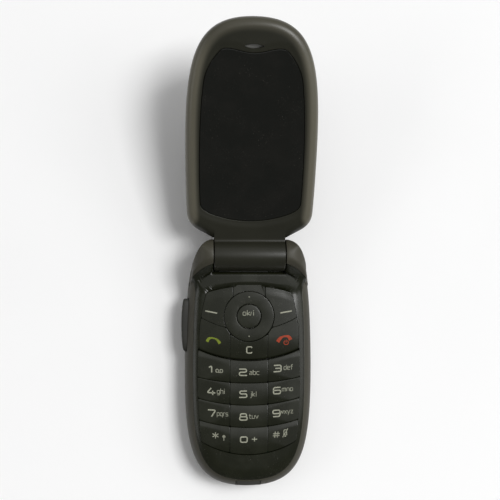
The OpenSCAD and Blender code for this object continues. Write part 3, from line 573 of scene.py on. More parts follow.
front = solid("front", base_skin(hollows=face_hollows, levels=64))
cut(front, solid("keep", prism(cover_region(CORNER_R - GAP), SEAM_Z + GAP, 40)), "INTERSECT")
under = base_inset(4.2 * UPRIGHT + 0.4 * (1 - UPRIGHT))
cut(front, solid("pocket", prism(under, 5, BASE_T - WALL)))
cut(front, solid("room", barrel_room()))
bridge = solid("bridge", box(-BRIDGE, BRIDGE, NAV[1], -5, 0, 30))
cut(bridge, solid("ring", prism(circle(*NAV, NAV_R + KEY_GAP), -1, 31)))
cut(front, cut(solid("upper", opening(head_field, (0, -24))), bridge))
cut(front, solid("pad", opening(pad_field, (0, -52))))
cut(front, solid("socket", SOCKET))
cut(front, solid("sound", SOUND))
finish(front, "front_cover_shell", "gloss_face", "base", "front_cover")

# %% [markdown]
# ## Rear cover
# The rear cover is the satin cup that the hand holds. It carries the two shoulders of the hinge, and it is open below
# for the battery, where the battery cover slides on. A shelf inside it holds the board above the battery. A wall could
# come from a Solidify modifier, but that would thicken the shoulders too. So the hollow is a second skin, drawn in by
# the wall, and it leaves the shelf and the cores of the shoulders standing.

# %% Rear cover
SHELF_TOP, SHELF_T = 6.9, 0.8
TRAY_TOP = 3.2           # the battery cover ends here


def cup_inside():
    """The hollow of the cup: the skin drawn in by the wall, up past the seam."""
    rings = [at_height(base_inset(20), WALL)] + back_rings([90, 70, 50, 30, 12, 0], WALL, WALL)
    for z in (SEAM_Z - 1.6, SEAM_Z + 0.5):
        rings.append(at_height(base_inset(WALL + (3.57 - WALL) * (UPRIGHT - 0.15) / STEEP), z))
    return loft(rings)


rear = solid("rear", base_skin())
cut(rear, solid("above", prism(cover_region(CORNER_R), SEAM_Z, 40)))
hollow = solid("hollow", cup_inside())
cut(hollow, solid("shelf", box(-30, 30, -95, -20.8, SHELF_TOP - SHELF_T, SHELF_TOP)))
for side in (-1, 1):
    cut(hollow, solid("shoulder_core", box(*sorted((side * SHOULDER_X, side * 30)), -9, 12, 9.2, 30)))
cut(rear, hollow)
cut(rear, solid("bay", box(-30, 30, -95, -22, -1, TRAY_TOP)))
cut(rear, solid("room", barrel_room()))
print("cup with", len(rear.data.polygons), "faces")

# %% [markdown]
# ## Openings of the rear cover
# The side key, the charging socket and the microphone look out through the side, and the loudspeaker through fifteen
# small holes in the back. Two screws near the hinge come in from below. Their holes have a lead-in that catches the
# light, as a drilled and countersunk hole does.

# %% Holes in the rear cover
cut(rear, solid("side_slot", box(-24, -19, -33.15, -14.65, 6.3, 9.7)))
cut(rear, solid("socket", SOCKET))
grille = [prism(circle(4.6 + 1.7 * i, -12.6 + 1.9 * j, 0.5, 24), -1, 3) for i in range(-2, 3) for j in range(-1, 2)]
cut(rear, solid("grille", together(*grille)))
cut(rear, solid("sound", SOUND))
for x in (-16.2, 16.2):
    cut(rear, solid("screw_way", drill(x, -10.8, ((-1, 2.1), (0.02, 2.1), (0.2, 1.9), (2.2, 1.9)))))
finish(rear, "rear_cover_shell", "satin_shell", "base", "rear_cover")

# %% [markdown]
# ## Battery cover
# The battery cover continues the skin below its seam. It is thin, and five grooves near the hinge give the thumb a grip
# when it is slid off. A groove cut with a plain cylinder would end in two hard points, so the cutter tapers at its
# ends.

# %% Battery cover
tray = solid("tray", base_skin())
cut(tray, solid("keep", box(-30, 30, -95, -22 - GAP, -2, TRAY_TOP - GAP)), "INTERSECT")
tray_hollow = [at_height(base_inset(20), WALL)] + back_rings([90, 80, 70, 60, 50, 40, 30], WALL, WALL)
cut(tray, solid("hollow", loft(tray_hollow)))
grip = []
for i in range(5):
    half = 5 - 0.25 * abs(i - 2)
    grip.append(loft([np.column_stack([np.full(24, x), circle(
        -30 - 1.4 * i, -0.7, math.sqrt(max(0.02, 1 - (x / half) ** 8)), 24)]) for x in np.linspace(-half, half, 40)]))
cut(tray, solid("grip", together(*grip)))
finish(tray, "battery_cover_shell", "satin_shell", "battery_cover", "battery_cover")

# %% [markdown]
# ## Side key
# The side key is a thin rounded bar in the left side that rocks to either end. Its outer face bulges along its length
# and across it. It could be a bevelled block, but then both bulges would be missing, so it is a stack of shrinking
# rounded oblongs, each of them bent back towards its ends.

# %% Side key
SIDE_RINGS = [(-19.6, 1), (-22.3, 1), (-22.75, 0.985), (-22.98, 0.95), (-23.12, 0.88), (-23.22, 0.75), (-23.28, 0.5),
              (-23.3, 0.15)]                           # place along X and size of each oblong


def pill(y_half, z_half, n=72):
    """Rounded oblong in the y-z plane: cosine and sine with their size raised to 0.4 and 0.5."""
    t = np.linspace(0, 2 * np.pi, n, endpoint=False)
    c, s = np.cos(t), np.sin(t)
    return np.column_stack([y_half * np.sign(c) * np.abs(c) ** 0.4, z_half * np.sign(s) * np.abs(s) ** 0.5])


side_rings = []
for x, k in SIDE_RINGS:
    p = pill(9.1 * (1 - (1 - k) * 0.35), 1.56 * k)
    side_rings.append(np.column_stack([x + p[:, 0] ** 2 / 120, p[:, 0] - 23.9, p[:, 1] + 8]))
side = solid("side", loft([r[::-1] for r in side_rings]))
cut(side, solid("back", box(-20.2, -10, -40, -10, 0, 20)))
finish(side, "side_key_cap", "dark_plastic", "side_key", "side_key")

# %% [markdown]
# ## Upper keys
# A key is a hard cap that moves up and down in its opening. The soft keys, the call and end keys and the clear key fill
# the field round the four-way key. Each is a region between a few arcs. The left ones are drawn and the right ones are
# their mirror images, which costs one line: the same region, asked at minus x.

# %% Regions of the upper keys
NARROW = 0.045           # half of the gap between keys in a row
SPLIT, SPLIT_R = (0, 7.4), 33                          # arc between the soft keys and the keys below them


def upper_top(x, y):
    """The upper field falls a little towards the sides, beyond 5 mm from the middle."""
    return BASE_T + 0.12 - np.clip(np.abs(x) - 5, 0, None) ** 1.5 * 0.012 + 0 * y


def call_top(x, y):
    """The lower keys of the field fall towards their foot as well, beyond y = -27.5."""
    return upper_top(x, y) - np.clip(-27.5 - y, 0, None) ** 2 * 0.012


def flipped(region):
    """The mirror image of a region."""
    return lambda x, y: region(-x, y)


key_field, key_head = shrunk(head_field, 0.06), shrunk(head_arc, 0.06)
foot_arc = above_seam(0, -0.06)
round_nav = outside(*NAV, NAV_R + 0.14)
soft = all_of(key_field, inside(*SPLIT, SPLIT_R - 0.06), left_of(-BRIDGE - KEY_GAP), round_nav)
call = all_of(key_field, outside(*SPLIT, SPLIT_R + 0.06), left_of(-COLUMN_X - NARROW), round_nav)
clear = all_of(key_field, right_of(-COLUMN_X + NARROW), left_of(COLUMN_X - NARROW), round_nav, lower(NAV[1]))
KEYS = {                 # name: ((region, arc at its foot, arc at its head), middle, height of its top)
    "key_soft_left": ((soft, foot_arc, key_head), (-12.5, -17.5), upper_top),
    "key_call": ((call, foot_arc, key_head), (-12, -29.3), call_top),
    "key_clear": ((clear, foot_arc, key_head), (0, -33.3), call_top),
}
for ours, other in (("key_soft_left", "key_soft_right"), ("key_call", "key_end")):
    (region, *arcs), (x, y), top = KEYS[ours]
    KEYS[other] = ((flipped(region), *arcs), (-x, y), top)
print(len(KEYS), "upper keys")

# %% [markdown]
# ## Number keys
# The number keys stand in rows that hang in arcs. Their tops are a pillow along the row, and those of the outer columns
# lean a little outwards, so that a finger finds them without looking. One function makes all twelve, because they
# differ only in their row and their column.

# %% Regions and tops of the number keys
LEAN = math.tan(math.radians(2))
ROW_GAP = 0.055          # half of the gap between rows
PILLOW_R = 24


def row_middle(k):
    """Middle of key k along Y: half way between its seams, and further up in the outer columns, where arcs rise."""
    return (ROW_Y[k // 3] + ROW_Y[k // 3 + 1]) / 2 + (0.2 if k % 3 == 1 else 1.6)


def digit_top(k):
    """A pillow along the row, cut by a plane that leans outwards."""
    outer, middle = k % 3 != 1, row_middle(k) - 0.3

    def top(x, y):
        pillow = BASE_T + 0.15 - (y - middle) ** 2 / (2 * PILLOW_R)
        lean = BASE_T + 0.15 - np.clip(np.abs(x) - COLUMN_X, 0, None) * LEAN * outer
        return smooth_min(pillow, lean, 0.05)
    return top


def digit_region(k):
    """The key's own cell, and the arcs that bound its row below and above."""
    column = (left_of(-COLUMN_X - NARROW), all_of(right_of(-COLUMN_X + NARROW), left_of(COLUMN_X - NARROW)),
              right_of(COLUMN_X + NARROW))[k % 3]
    arcs = above_seam(k // 3 + 1, -ROW_GAP), below_seam(k // 3, -ROW_GAP)
    return all_of(shrunk(pad_sides(), 0.05), *arcs, column, blend=0.5), *arcs


for k, name in enumerate([*"123456789", "star", "0", "hash"]):
    KEYS["key_" + name] = (digit_region(k), ((-11.8, 0, 11.8)[k % 3], row_middle(k)), digit_top(k))
print(len(KEYS), "keys with the number keys")

# %% [markdown]
# ## Surface of a key
# A key is a fan of rings over its region: up the wall, over the rim and in to the middle. A bevelled prism would be
# quicker, but its top would be flat. Here the top turns down on a small radius measured by the distance to the rim, so
# the rim catches a thin line of light. The rings lie close together there, where the surface bends. The same height
# function will carry the printed ink, so ink and key can't part.

# %% Keys from rings
KEY_FOOT = BASE_T - 1.9
FOOT_ROLL = 0.9          # radius along the foot of the upper field
ROW_ROLL = 0.12          # radius along the foot of a number key
HEAD_ROLL = 0.3
SIDE_ROLL = 0.1          # radius towards the neighbours, and width of the blend into the others


def key_height(name, x, y):
    """Height of a key's top: a roll down to the arcs of its row and a narrower one to its neighbours."""
    (region, foot, head), _, top = KEYS[name]
    upper = foot is foot_arc
    to_foot = rounded(np.clip(foot(x, y), 0, None), FOOT_ROLL if upper else ROW_ROLL)
    to_head = rounded(np.clip(head(x, y), 0, None), HEAD_ROLL)
    to_side = rounded(np.clip(region(x, y), 0, None), SIDE_ROLL)
    dip = head_dip(x, y) if upper else 0.0
    return np.maximum(top(x, y) - dip - smooth_max(np.maximum(to_foot, to_head), to_side, SIDE_ROLL), KEY_FOOT + 0.3)


def key_surface(name, n=200):
    """Rings from the foot up the wall to the rim and then inwards over the top."""
    (region, *_), centre, _ = KEYS[name]
    edge = outline_of(region, centre, n)
    middle = np.array(centre)
    rings = [at_height(edge, KEY_FOOT)]
    for share in 1 - np.concatenate([np.linspace(0, 0.22, 18) ** 1.5 / 0.22 ** 0.5, np.linspace(0.25, 0.98, 18)]):
        p = middle + (edge - middle) * share
        rings.append(at_height(p, key_height(name, p[:, 0], p[:, 1])))
    return loft(rings)


for name in KEYS:
    finish(solid(name, key_surface(name)), name + "_cap", "keycap", name, name)

# %% [markdown]
# ## Four-way key and select key
# The four-way key is a ring that rocks, and the select key is a small button in it. Both are turned shapes: a profile
# of distance and height, carried round the middle. Blender's Screw modifier does the same. Rings of numbers are used
# here because the profile's rolls come from the same formula as those of the other keys.

# %% Turned keys
def turned(profile, centre, n=128):
    """A profile of (distance, height) carried round an upright axis; each point of it is one ring."""
    a = np.arange(n) * 2 * np.pi / n
    return [np.column_stack([centre[0] + r * np.cos(a), centre[1] + r * np.sin(a), np.full(n, z)]) for r, z in profile]


def ring_height(r):
    """The ring is highest half way between its edges and falls as the square of the distance from there."""
    return BASE_T + 0.02 - 0.014 * (r - 6.4) ** 2


def select_height(r):
    """The select key is a flat dome on the same level as the ring."""
    return BASE_T + 0.02 - r ** 2 / 110


RING_IN = SELECT_R + KEY_GAP
bend = np.sin(np.linspace(0, np.pi / 2, 9))
ring_r = np.concatenate([np.linspace(NAV_R, RING_IN, 60), NAV_R - 0.25 + 0.25 * bend, RING_IN + 0.2 - 0.2 * bend])
ring_r = np.sort(np.unique(ring_r))[::-1]
drop = rounded(NAV_R - ring_r, 0.25) + rounded(ring_r - RING_IN, 0.2)
profile = [(RING_IN, KEY_FOOT), (NAV_R, KEY_FOOT)] + list(zip(ring_r, ring_height(ring_r) - drop))
finish(solid("nav", loft(turned(profile, NAV), closed=True)), "nav_key_cap", "keycap", "nav_key", "nav_key")

select_r = np.concatenate([SELECT_R - 0.25 + 0.25 * bend[::-1], np.linspace(3.7, 0.1, 18)])
profile = [(SELECT_R, KEY_FOOT)] + list(zip(select_r, select_height(select_r) - rounded(SELECT_R - select_r, 0.25)))
finish(solid("select", loft(turned(profile, NAV))), "key_select_cap", "keycap", "key_select", "key_select")

# %% [markdown]
# ## Lid
# The lid is one skin as well, divided at its seam: a rounded frame that faces the keys and a shell behind it. It is
# drawn flat, in its own measures, and every ring of it goes through the turn about the hinge. Drawing it in its open
# place would mean slanted numbers everywhere.

# %% Outline of the lid
LID_FACE, LID_BACK, LID_SEAM, LID_FOOT = 0.29, -7.7, -2.5, 5.9
LID_ROUND = 6            # width of the round from the back to the sides
NECK_X, BARREL_R = 12.1, 5.2
lid_half = np.concatenate([
    line([0, LID_FOOT], [NECK_X + 0.5, LID_FOOT], 12), line([NECK_X + 0.5, LID_FOOT], [17.2, 8.5], 8),
    curve([[17.2, 8.5], [19.3, 9.7], [21.1, 11.3], [21.35, 14.6]], 24),
    curve([[21.35, 14.6], [21.6, 18], [22, 30], [22, 40]], 40),
    curve([[22, 40], [22, REACH - 11.3], [18, REACH], [0, REACH]], 72), [[0, REACH]]])
LID = mirrored(lid_half)


def lid_inset(inset):
    """The lid's outline drawn in towards the middle line between its round ends."""
    return drawn_in(LID, LID_FOOT + HALF_W, REACH - HALF_W, inset)


def lid_back_rings(angles, inset, top, bottom):
    """Quarter ellipse from the back (90 degrees) up to the seam (0)."""
    return [at_height(lid_inset(LID_ROUND * (1 - math.cos(a)) + inset), top - (top - bottom) * math.sin(a))
            for a in np.radians(angles)]


print("outline of the lid:", len(LID), "points")

# %% [markdown]
# ## Skin of the lid
# The frame's face falls a little towards the window, so that the window's rim lies in a shallow dish. The window has a
# bay at its head, under the earpiece. Its outline is the meeting of seven large circles with the circle of the bay
# taken away, all with soft corners.

# %% Window's outline and the lid's skin
CORNER_Y = 55            # above this the window's corners begin


def lens_region():
    """The window seen from above: flat arcs all round, rounder ones at the head's corners, less the bay."""
    corners = [any_of(inside(-s * 3.4, CORNER_Y, 20.1), lower(CORNER_Y)) for s in (-1, 1)]
    foot = any_of(inside(0, 32, 22.3), higher(32))
    pane = all_of(inside(-282.65, 34, 300), inside(282.65, 34, 300), inside(0, 49.3, 36.9), inside(0, -29.8, 100),
                  *corners, foot, blend=0.7)
    return all_of(pane, outside(0, 80.5, 12), blend=2.2)


lens = lens_region()


def lid_face(x, y):
    """The frame's face falls by 0.28 mm towards the window over the last 2.6 mm, on a smooth step."""
    d = np.clip(-lens(x, y), 0, 2.6)
    return LID_FACE - 0.28 * (1 - ease(0, 2.6, d))


def lid_skin(groove=0.1):
    """Quarter ellipses from the back to the seam and from the seam to the face, then the face drawn in ring by ring."""
    back = [at_height(lid_inset(20), LID_BACK)] + lid_back_rings(np.linspace(90, 0, 20), 0, LID_SEAM - 0.1, LID_BACK)
    seam = [at_height(lid_inset(groove), LID_SEAM - 0.05)]
    face = [at_height(lid_inset(3 * (1 - math.cos(a))), LID_SEAM + (LID_FACE - LID_SEAM) * math.sin(a))
            for a in np.radians(np.linspace(4, 90, 16))]
    for inset in np.concatenate([np.linspace(3.25, 9, 24), np.linspace(10, 21, 12)]):
        p = lid_inset(inset)
        face.append(at_height(p, lid_face(p[:, 0], p[:, 1])))
    return loft(back + seam + face)


print("window", round(float(np.ptp(outline_of(lens, (0, 38), 400)[:, 1])), 1), "mm high")

# %% [markdown]
# ## Lid frame with neck and barrel
# The frame runs on into the neck and the hinge barrel as one moulding. The side view of neck and barrel is a single
# closed profile carried across, because a cylinder joined to a plate would leave a crease where the real part has a
# fillet. The barrel's ends shrink over the last third of a millimetre, which breaks their edge.

# %% Neck and barrel
def neck_profile():
    """Side view of neck and barrel: round the barrel, a small hollow fillet, then flat into the face of the lid."""
    a = np.linspace(np.pi * 1.5, 0.19, 90)
    arc = np.column_stack([BARREL_R * np.cos(a), BARREL_R * np.sin(a)])
    f = np.linspace(0, 1, 10)[1:, None]
    corner, end = np.array([5.22, LID_FACE]), np.array([6.5, LID_FACE])
    fillet = (1 - f) ** 2 * arc[-1] + 2 * f * (1 - f) * corner + f * f * end
    return np.concatenate([arc, fillet, [[9.4, LID_FACE]], [[9.4, -BARREL_R]]])[::-1]


def neck_bar():
    """The profile carried from end to end; towards the ends it shrinks about a point near its middle."""
    profile, centre = neck_profile(), np.array([1.0, -0.6])
    ends = [(NECK_X - 0.35 + 0.35 * math.sin(a), 1 - math.cos(a)) for a in np.linspace(0, np.pi / 2, 6)]
    rings = []
    for x, k in [(-x, k) for x, k in ends[::-1]] + ends:
        shrink = 1 - 0.28 * k / BARREL_R
        rings.append(np.column_stack([np.full(len(profile), x), centre + (profile - centre) * shrink]))
    return loft(rings)


inner = solid("inner", lid_skin(), in_lid)
cut(inner, solid("keep", box(-30, 30, -10, 90, LID_SEAM - 0.03, 5), in_lid), "INTERSECT")
hollow = [at_height(lid_inset(d), z) for d, z in ((1.2, -4), (1.2, LID_SEAM), (2.2, -1.8), (3.6, -1.8))]
cut(inner, solid("hollow", loft(hollow), in_lid))
cut(inner, solid("neck", neck_bar(), in_lid), "UNION")
print("frame with neck:", len(inner.data.polygons), "faces")

# %% [markdown]
# ## Seats in the frame
# The window sits in a recess, the display looks up through a smaller opening below it, and the earpiece has a slot at
# the head. Each recess widens over its last tenths of a millimetre, which gives the soft edge of a moulding.

# %% Window seat, display opening and earpiece slot
EAR = 70.6
SEAT = ((-0.85, 0.1), (-0.15, 0.1), (-0.06, 0.13), (0.0, 0.2), (0.04, 0.3), (0.4, 0.6))
SLOT = ((-7, 0), (LID_FACE - 0.2, 0), (LID_FACE - 0.1, 0.03), (LID_FACE - 0.03, 0.1), (LID_FACE + 0.03, 0.2),
        (LID_FACE + 0.3, 0.4))
slot_region = all_of(inside(0, EAR + 8.1, 8.75), inside(0, EAR - 8.1, 8.75), blend=0.2)
cut(inner, solid("seat", flared(lens, (0, 38), 400, SEAT), in_lid))
cut(inner, solid("view", box(-14.5, 14.5, 20, 58, -5, 1), in_lid))
cut(inner, solid("slot", flared(slot_region, (0, EAR), 120, SLOT), in_lid))
finish(inner, "lid_frame", "satin_shell", "lid", "lid_inner_cover")

# %% [markdown]
# ## Where the rim gets a painted highlight
# The rim of the frame is given a lighter colour than its face: a painted highlight for the light that its round
# reflects.
# Two materials would meet in a hard line. Instead every vertex stores how near it is to the rim, and the finish reads
# that number as a mask.

# %% Rim attribute for the painted highlight
def rim_highlight_mask(piece, line, near, far):
    """Mask of the painted highlight on the lid's rim: stores on every vertex 1 within near of a line and 0 beyond far,
    with a smooth step between them; it is weaker round the head of the lid."""
    at = np.empty(len(piece.data.vertices) * 3)
    piece.data.vertices.foreach_get("co", at)
    at = at.reshape(-1, 3) * 1000
    step = np.linspace(0, 1, 4)[:-1, None, None]
    dense = (line[:-1] * (1 - step) + line[1:] * step).reshape(-1, 2)
    gap = np.concatenate([np.min(np.hypot(part[:, :1] - dense[:, 0], part[:, 1:] - dense[:, 1]), axis=1)
                          for part in np.array_split(at[:, :2], max(1, len(at) // 2000))])
    # Painted highlight: full along the rim, fading inwards, and half as strong round the head of the lid.
    mask = (1 - ease(near, far, gap)) * (1 - 0.5 * ease(HINGE_Y + 60, HINGE_Y + 71, at[:, 1]))
    piece.data.attributes.new("rim", "FLOAT", "POINT").data.foreach_set("value", mask.astype(np.float32))
    print(piece.name, "rim on", int((mask > 0.5).sum()), "of", len(mask), "vertices")


# The frame's rim along both long sides gets the painted highlight.
lid_edge = in_lid(at_height(LID, 0))[:, :2] * 1000
right = lid_edge[(LID[:, 0] >= 0) & (LID[:, 1] > 13.5)]
rim_highlight_mask(inner, np.concatenate([right, right[::-1] * [-1, 1]]), 2.2, 4.6)

# %% [markdown]
# ## Lid shell
# The shell closes the lid from behind. It is the lower part of the same skin, hollowed by a second one, with room for
# the neck, a rest for the small outer window and two screw holes.

# %% Lid shell
OUTER_Y = 54             # middle of the outer window
shell = solid("shell", lid_skin(), in_lid)
cut(shell, solid("keep", box(-30, 30, -10, 90, -9, LID_SEAM - 0.07), in_lid), "INTERSECT")
hollow = [at_height(lid_inset(20), LID_BACK + 1)]
hollow += lid_back_rings([90, 75, 60, 45, 30, 15, 0], 1, LID_SEAM, LID_BACK + 1)
cut(shell, solid("hollow", loft(hollow + [at_height(lid_inset(1), -1)]), in_lid))
cut(shell, solid("neck_room", box(-NECK_X - GAP, NECK_X + GAP, 0, 12, -BARREL_R - 0.1, 20), in_lid))
outer_shape = all_of(inside(0, 0, 15), inside(0, 24, 34.5), inside(0, -24, 34.5), blend=0.8)


def outer_region(x, y):
    """The outer window: three circles that meet in a wide oval, moved to its place."""
    return outer_shape(x, y - OUTER_Y)


REST = ((-8.5, 0.5), (LID_BACK - 0.02, 0.2), (LID_BACK + 0.08, 0.1), (LID_BACK + 0.6, 0.1))
SCREW = ((-9, 1.65), (LID_BACK, 1.62), (LID_BACK + 0.2, 1.5), (LID_BACK + 0.9, 1.5))
cut(shell, solid("rest", flared(outer_region, (0, OUTER_Y), 200, REST), in_lid))
cut(shell, solid("view", box(-8, 8, 48, 60, -9, -3), in_lid))
for x in (-13.2, 13.2):
    cut(shell, solid("screw", drill(x, 16.4, SCREW), in_lid))
finish(shell, "lid_shell", "satin_shell", "lid", "lid_outer_cover")

# %% [markdown]
# ## Windows
# Both windows are clear panes printed dark from behind, so they are drawn as dark glossy plates. Their tops are almost
# flat, and the small roll at the rim is what tells the eye that a pane is let in. The outer pane is made the same way
# and turned over, and its faces are turned round with it so that they still point outwards.

# %% Windows
def window(region, centre, n, foot, top, rim, crown):
    """A pane whose top rises by crown towards its middle and turns down at the rim."""
    edge, middle = outline_of(region, centre, n), np.array(centre)
    rings = [at_height(edge, foot)]
    for s in 1 - np.concatenate([np.linspace(0, 0.08, 10), np.linspace(0.11, 0.99, 24)]):
        p = middle + (edge - middle) * s
        d = np.clip(region(p[:, 0], p[:, 1]), 0, None)
        rings.append(at_height(p, top + crown * ease(0, 9, d) - rounded(d, rim)))
    return loft(rings)


pane = window(lens, (0, 38), 400, -0.85, 0.12, 0.25, 0.03)
finish(solid("pane", pane, in_lid), "main_window", "window", "lid", "inner_lens")
verts, faces = window(outer_region, (0, OUTER_Y), 240, 0, 0.5, 0.2, 0.0)
verts[:, 2] = LID_BACK + 0.55 - verts[:, 2]
faces = [f[::-1] for f in faces]
finish(solid("pane", (verts, faces), in_lid), "outer_window", "window", "lid", "outer_lens")

# %% [markdown]
# ## Printed legends
# The legends are a thin layer of ink. A font and a decal picture would be the usual way, but a common font rarely has
# the square, wide form that keypads use. Each figure is drawn here as one to three paths on a grid. Digits, the letters
# beside them and the handset signs are common to all telephones of this kind.

# %% Stroke font: paths on a grid, baseline at 0
GLYPHS = {
    "1": [[(0.9, 4.6), (2.3, 6), (2.3, 0)]],
    "2": [[(0.2, 6), (4, 6), (4, 3.1), (0.1, 3.1), (0.1, 0), (4.1, 0)]],
    "3": [[(0.2, 6), (4, 6), (4, 0), (0, 0)], [(1.0, 3.1), (3.9, 3.1)]],
    "4": [[(2.1, 6), (0, 1.8), (4.3, 1.8)], [(3.1, 3.4), (3.1, 0)]],
    "5": [[(3.9, 6), (0.2, 6), (0.2, 3.3), (4, 3.3), (4, 0), (0, 0)]],
    "6": [[(3.8, 6), (0.1, 6), (0.1, 0), (4, 0), (4, 3.3), (0.2, 3.3)]],
    "7": [[(0, 6), (4.1, 6), (1.9, 0)]],
    "8": [[(0.4, 3.2), (0.4, 6), (3.7, 6), (3.7, 3.2)], [(0, 0), (4.1, 0), (4.1, 3.2), (0, 3.2), (0, 0)]],
    "9": [[(4, 2.8), (0.1, 2.8), (0.1, 6), (4, 6), (4, 0), (0.4, 0)]],
    "0": [[(0.2, 0), (3.9, 0), (3.9, 6), (0.2, 6), (0.2, 0)]],
    "*": [[(2, 5.9), (2, 0.3)], [(0.2, 4.6), (3.8, 1.6)], [(0.2, 1.6), (3.8, 4.6)]],
    "#": [[(1.3, 5.8), (0.9, 0.2)], [(3.1, 5.8), (2.7, 0.2)], [(0, 4), (4.1, 4)], [(-0.1, 2), (4, 2)]],
    "+": [[(2, 5), (2, 1)], [(0.4, 3), (3.6, 3)]],
    "a": [[(0.3, 4), (3, 4), (3, 0), (0.2, 0), (0.2, 2.2), (2.9, 2.2)]],
    "b": [[(0.2, 6), (0.2, 0), (3, 0), (3, 4), (0.3, 4)]],
    "c": [[(3, 4), (0.2, 4), (0.2, 0), (3, 0)]],
    "d": [[(3, 6), (3, 0), (0.2, 0), (0.2, 4), (2.9, 4)]],
    "e": [[(0.3, 2), (3, 2), (3, 4), (0.2, 4), (0.2, 0), (3, 0)]],
    "f": [[(2.4, 6), (1, 6), (1, 0)], [(0, 4), (2.2, 4)]],
    "g": [[(2.9, 0), (0.2, 0), (0.2, 4), (3, 4), (3, -1.8), (0.4, -1.8)]],
    "h": [[(0.2, 6), (0.2, 0)], [(0.3, 4), (3, 4), (3, 0)]],
    "i": [[(0.5, 4), (0.5, 0)], [(0.5, 6), (0.5, 5.4)]],
    "j": [[(0.9, 4), (0.9, -1.8), (0, -1.8)], [(0.9, 6), (0.9, 5.4)]],
    "k": [[(0.2, 6), (0.2, 0)], [(2.8, 4), (0.4, 2), (3, 0)]],
    "l": [[(0.5, 6), (0.5, 0)]],
    "m": [[(0.2, 0), (0.2, 4), (4.4, 4), (4.4, 0)], [(2.3, 3.9), (2.3, 0)]],
    "n": [[(0.2, 0), (0.2, 4), (3, 4), (3, 0)]],
    "o": [[(0.2, 0), (3, 0), (3, 4), (0.2, 4), (0.2, 0)]],
    "p": [[(0.2, -1.8), (0.2, 4), (3, 4), (3, 0), (0.3, 0)]],
    "q": [[(3, -1.8), (3, 4), (0.2, 4), (0.2, 0), (2.9, 0)]],
    "r": [[(0.3, 0), (0.3, 4), (2, 4)]],
    "s": [[(2.8, 4), (0.2, 4), (0.2, 2.1), (2.9, 2.1), (2.9, 0), (0.1, 0)]],
    "t": [[(0.9, 5.6), (0.9, 0), (2.4, 0)], [(0, 4), (2.4, 4)]],
    "u": [[(0.2, 4), (0.2, 0), (3, 0), (3, 4)]],
    "v": [[(0, 4), (1.6, 0), (3.2, 4)]],
    "w": [[(0, 4), (1.1, 0), (2.3, 4), (3.5, 0), (4.6, 4)]],
    "x": [[(0, 4), (3, 0)], [(0, 0), (3, 4)]],
    "y": [[(0, 4), (1.6, 0)], [(3.2, 4), (0.9, -1.8)]],
    "z": [[(0.1, 4), (3, 4), (0.1, 0), (3, 0)]],
    "C": [[(3.6, 5.2), (3.6, 6), (0.2, 6), (0.2, 0), (3.6, 0), (3.6, 0.8)]],
    "mail": [[(0, 0.4), (1.7, 0.4), (1.7, 3.4), (0, 3.4), (0, 0.4)],
             [(2.7, 0.4), (4.4, 0.4), (4.4, 3.4), (2.7, 3.4), (2.7, 0.4)], [(0.8, 0.3), (3.6, 0.3)]],
    "up": [[(1.5, 0), (1.5, 5.2)], [(0.1, 3.3), (1.5, 5.4), (2.9, 3.3), (0.1, 3.3)], [(0.8, 3.8), (2.2, 3.8)]],
    "bell": [[(0.4, 1.4), (0.9, 1.8), (0.9, 4.6), (1.5, 5.4), (2.6, 5.4), (3.2, 4.6), (3.2, 1.8), (3.7, 1.4),
              (0.4, 1.4)], [(1.6, 0.4), (2.5, 0.4)], [(0, 0), (4.1, 6)]],
    "power": [[(1.1, 4.4), (0.3, 3.2), (0.3, 1.6), (1.2, 0.5), (2.8, 0.5), (3.7, 1.6), (3.7, 3.2), (2.9, 4.4)],
              [(2, 5.4), (2, 2.6)]],
}
print(len(GLYPHS), "figures and signs")

# %% [markdown]
# ## Ribbons of ink
# Each stroke of a figure is a flat ribbon along its path. The path's corners are turned on a small radius first,
# because ink runs round in a corner. The ribbon then takes the height of the key under it at every step, so that it
# lies on the pillow. A straight strip between two points would dive through it.

# %% Paths with soft corners
INK_STEP = 0.35          # longest step along a stroke


def softened(path, r):
    """A path whose corners become parabolas that start at most r before each corner, in steps of at most INK_STEP."""
    p = np.array(path, float)
    loop = np.allclose(p[0], p[-1]) and len(p) > 3
    if loop:
        p = p[:-1]
    n = len(p)
    out = [] if loop else [p[:1]]
    f = np.linspace(0, 1, 6)[:, None]
    for i in range(0 if loop else 1, n if loop else n - 1):
        a, b, c = p[i - 1], p[i], p[(i + 1) % n]
        la, lc = np.hypot(*(a - b)), np.hypot(*(c - b))
        a, c = b + (a - b) * min(r / la, 0.48), b + (c - b) * min(r / lc, 0.48)
        out.append((1 - f) ** 2 * a + 2 * f * (1 - f) * b + f * f * c)
    if not loop:
        out.append(p[-1:])
    p = np.concatenate(out)
    if loop:
        p = np.concatenate([p, p[:1]])
    step = np.hypot(*np.diff(p, axis=0).T)
    s = np.concatenate([[0], np.cumsum(step)])
    t = np.unique(np.concatenate([s, np.arange(0, s[-1], INK_STEP)]))
    t = t[np.concatenate([[True], np.diff(t) > 1e-3])]
    q = np.column_stack([np.interp(t, s, p[:, 0]), np.interp(t, s, p[:, 1])])
    return (q[:-1], True) if loop else (q, False)


print("a corner softened by 0.3 mm has", len(softened([(0, 0), (1, 0), (1, 1)], 0.3)[0]), "points")

# %% Ribbons, words and dots
INK_T, INK_ROOT = 0.022, 0.05  # the ink stands this far above its key, and reaches this far into it


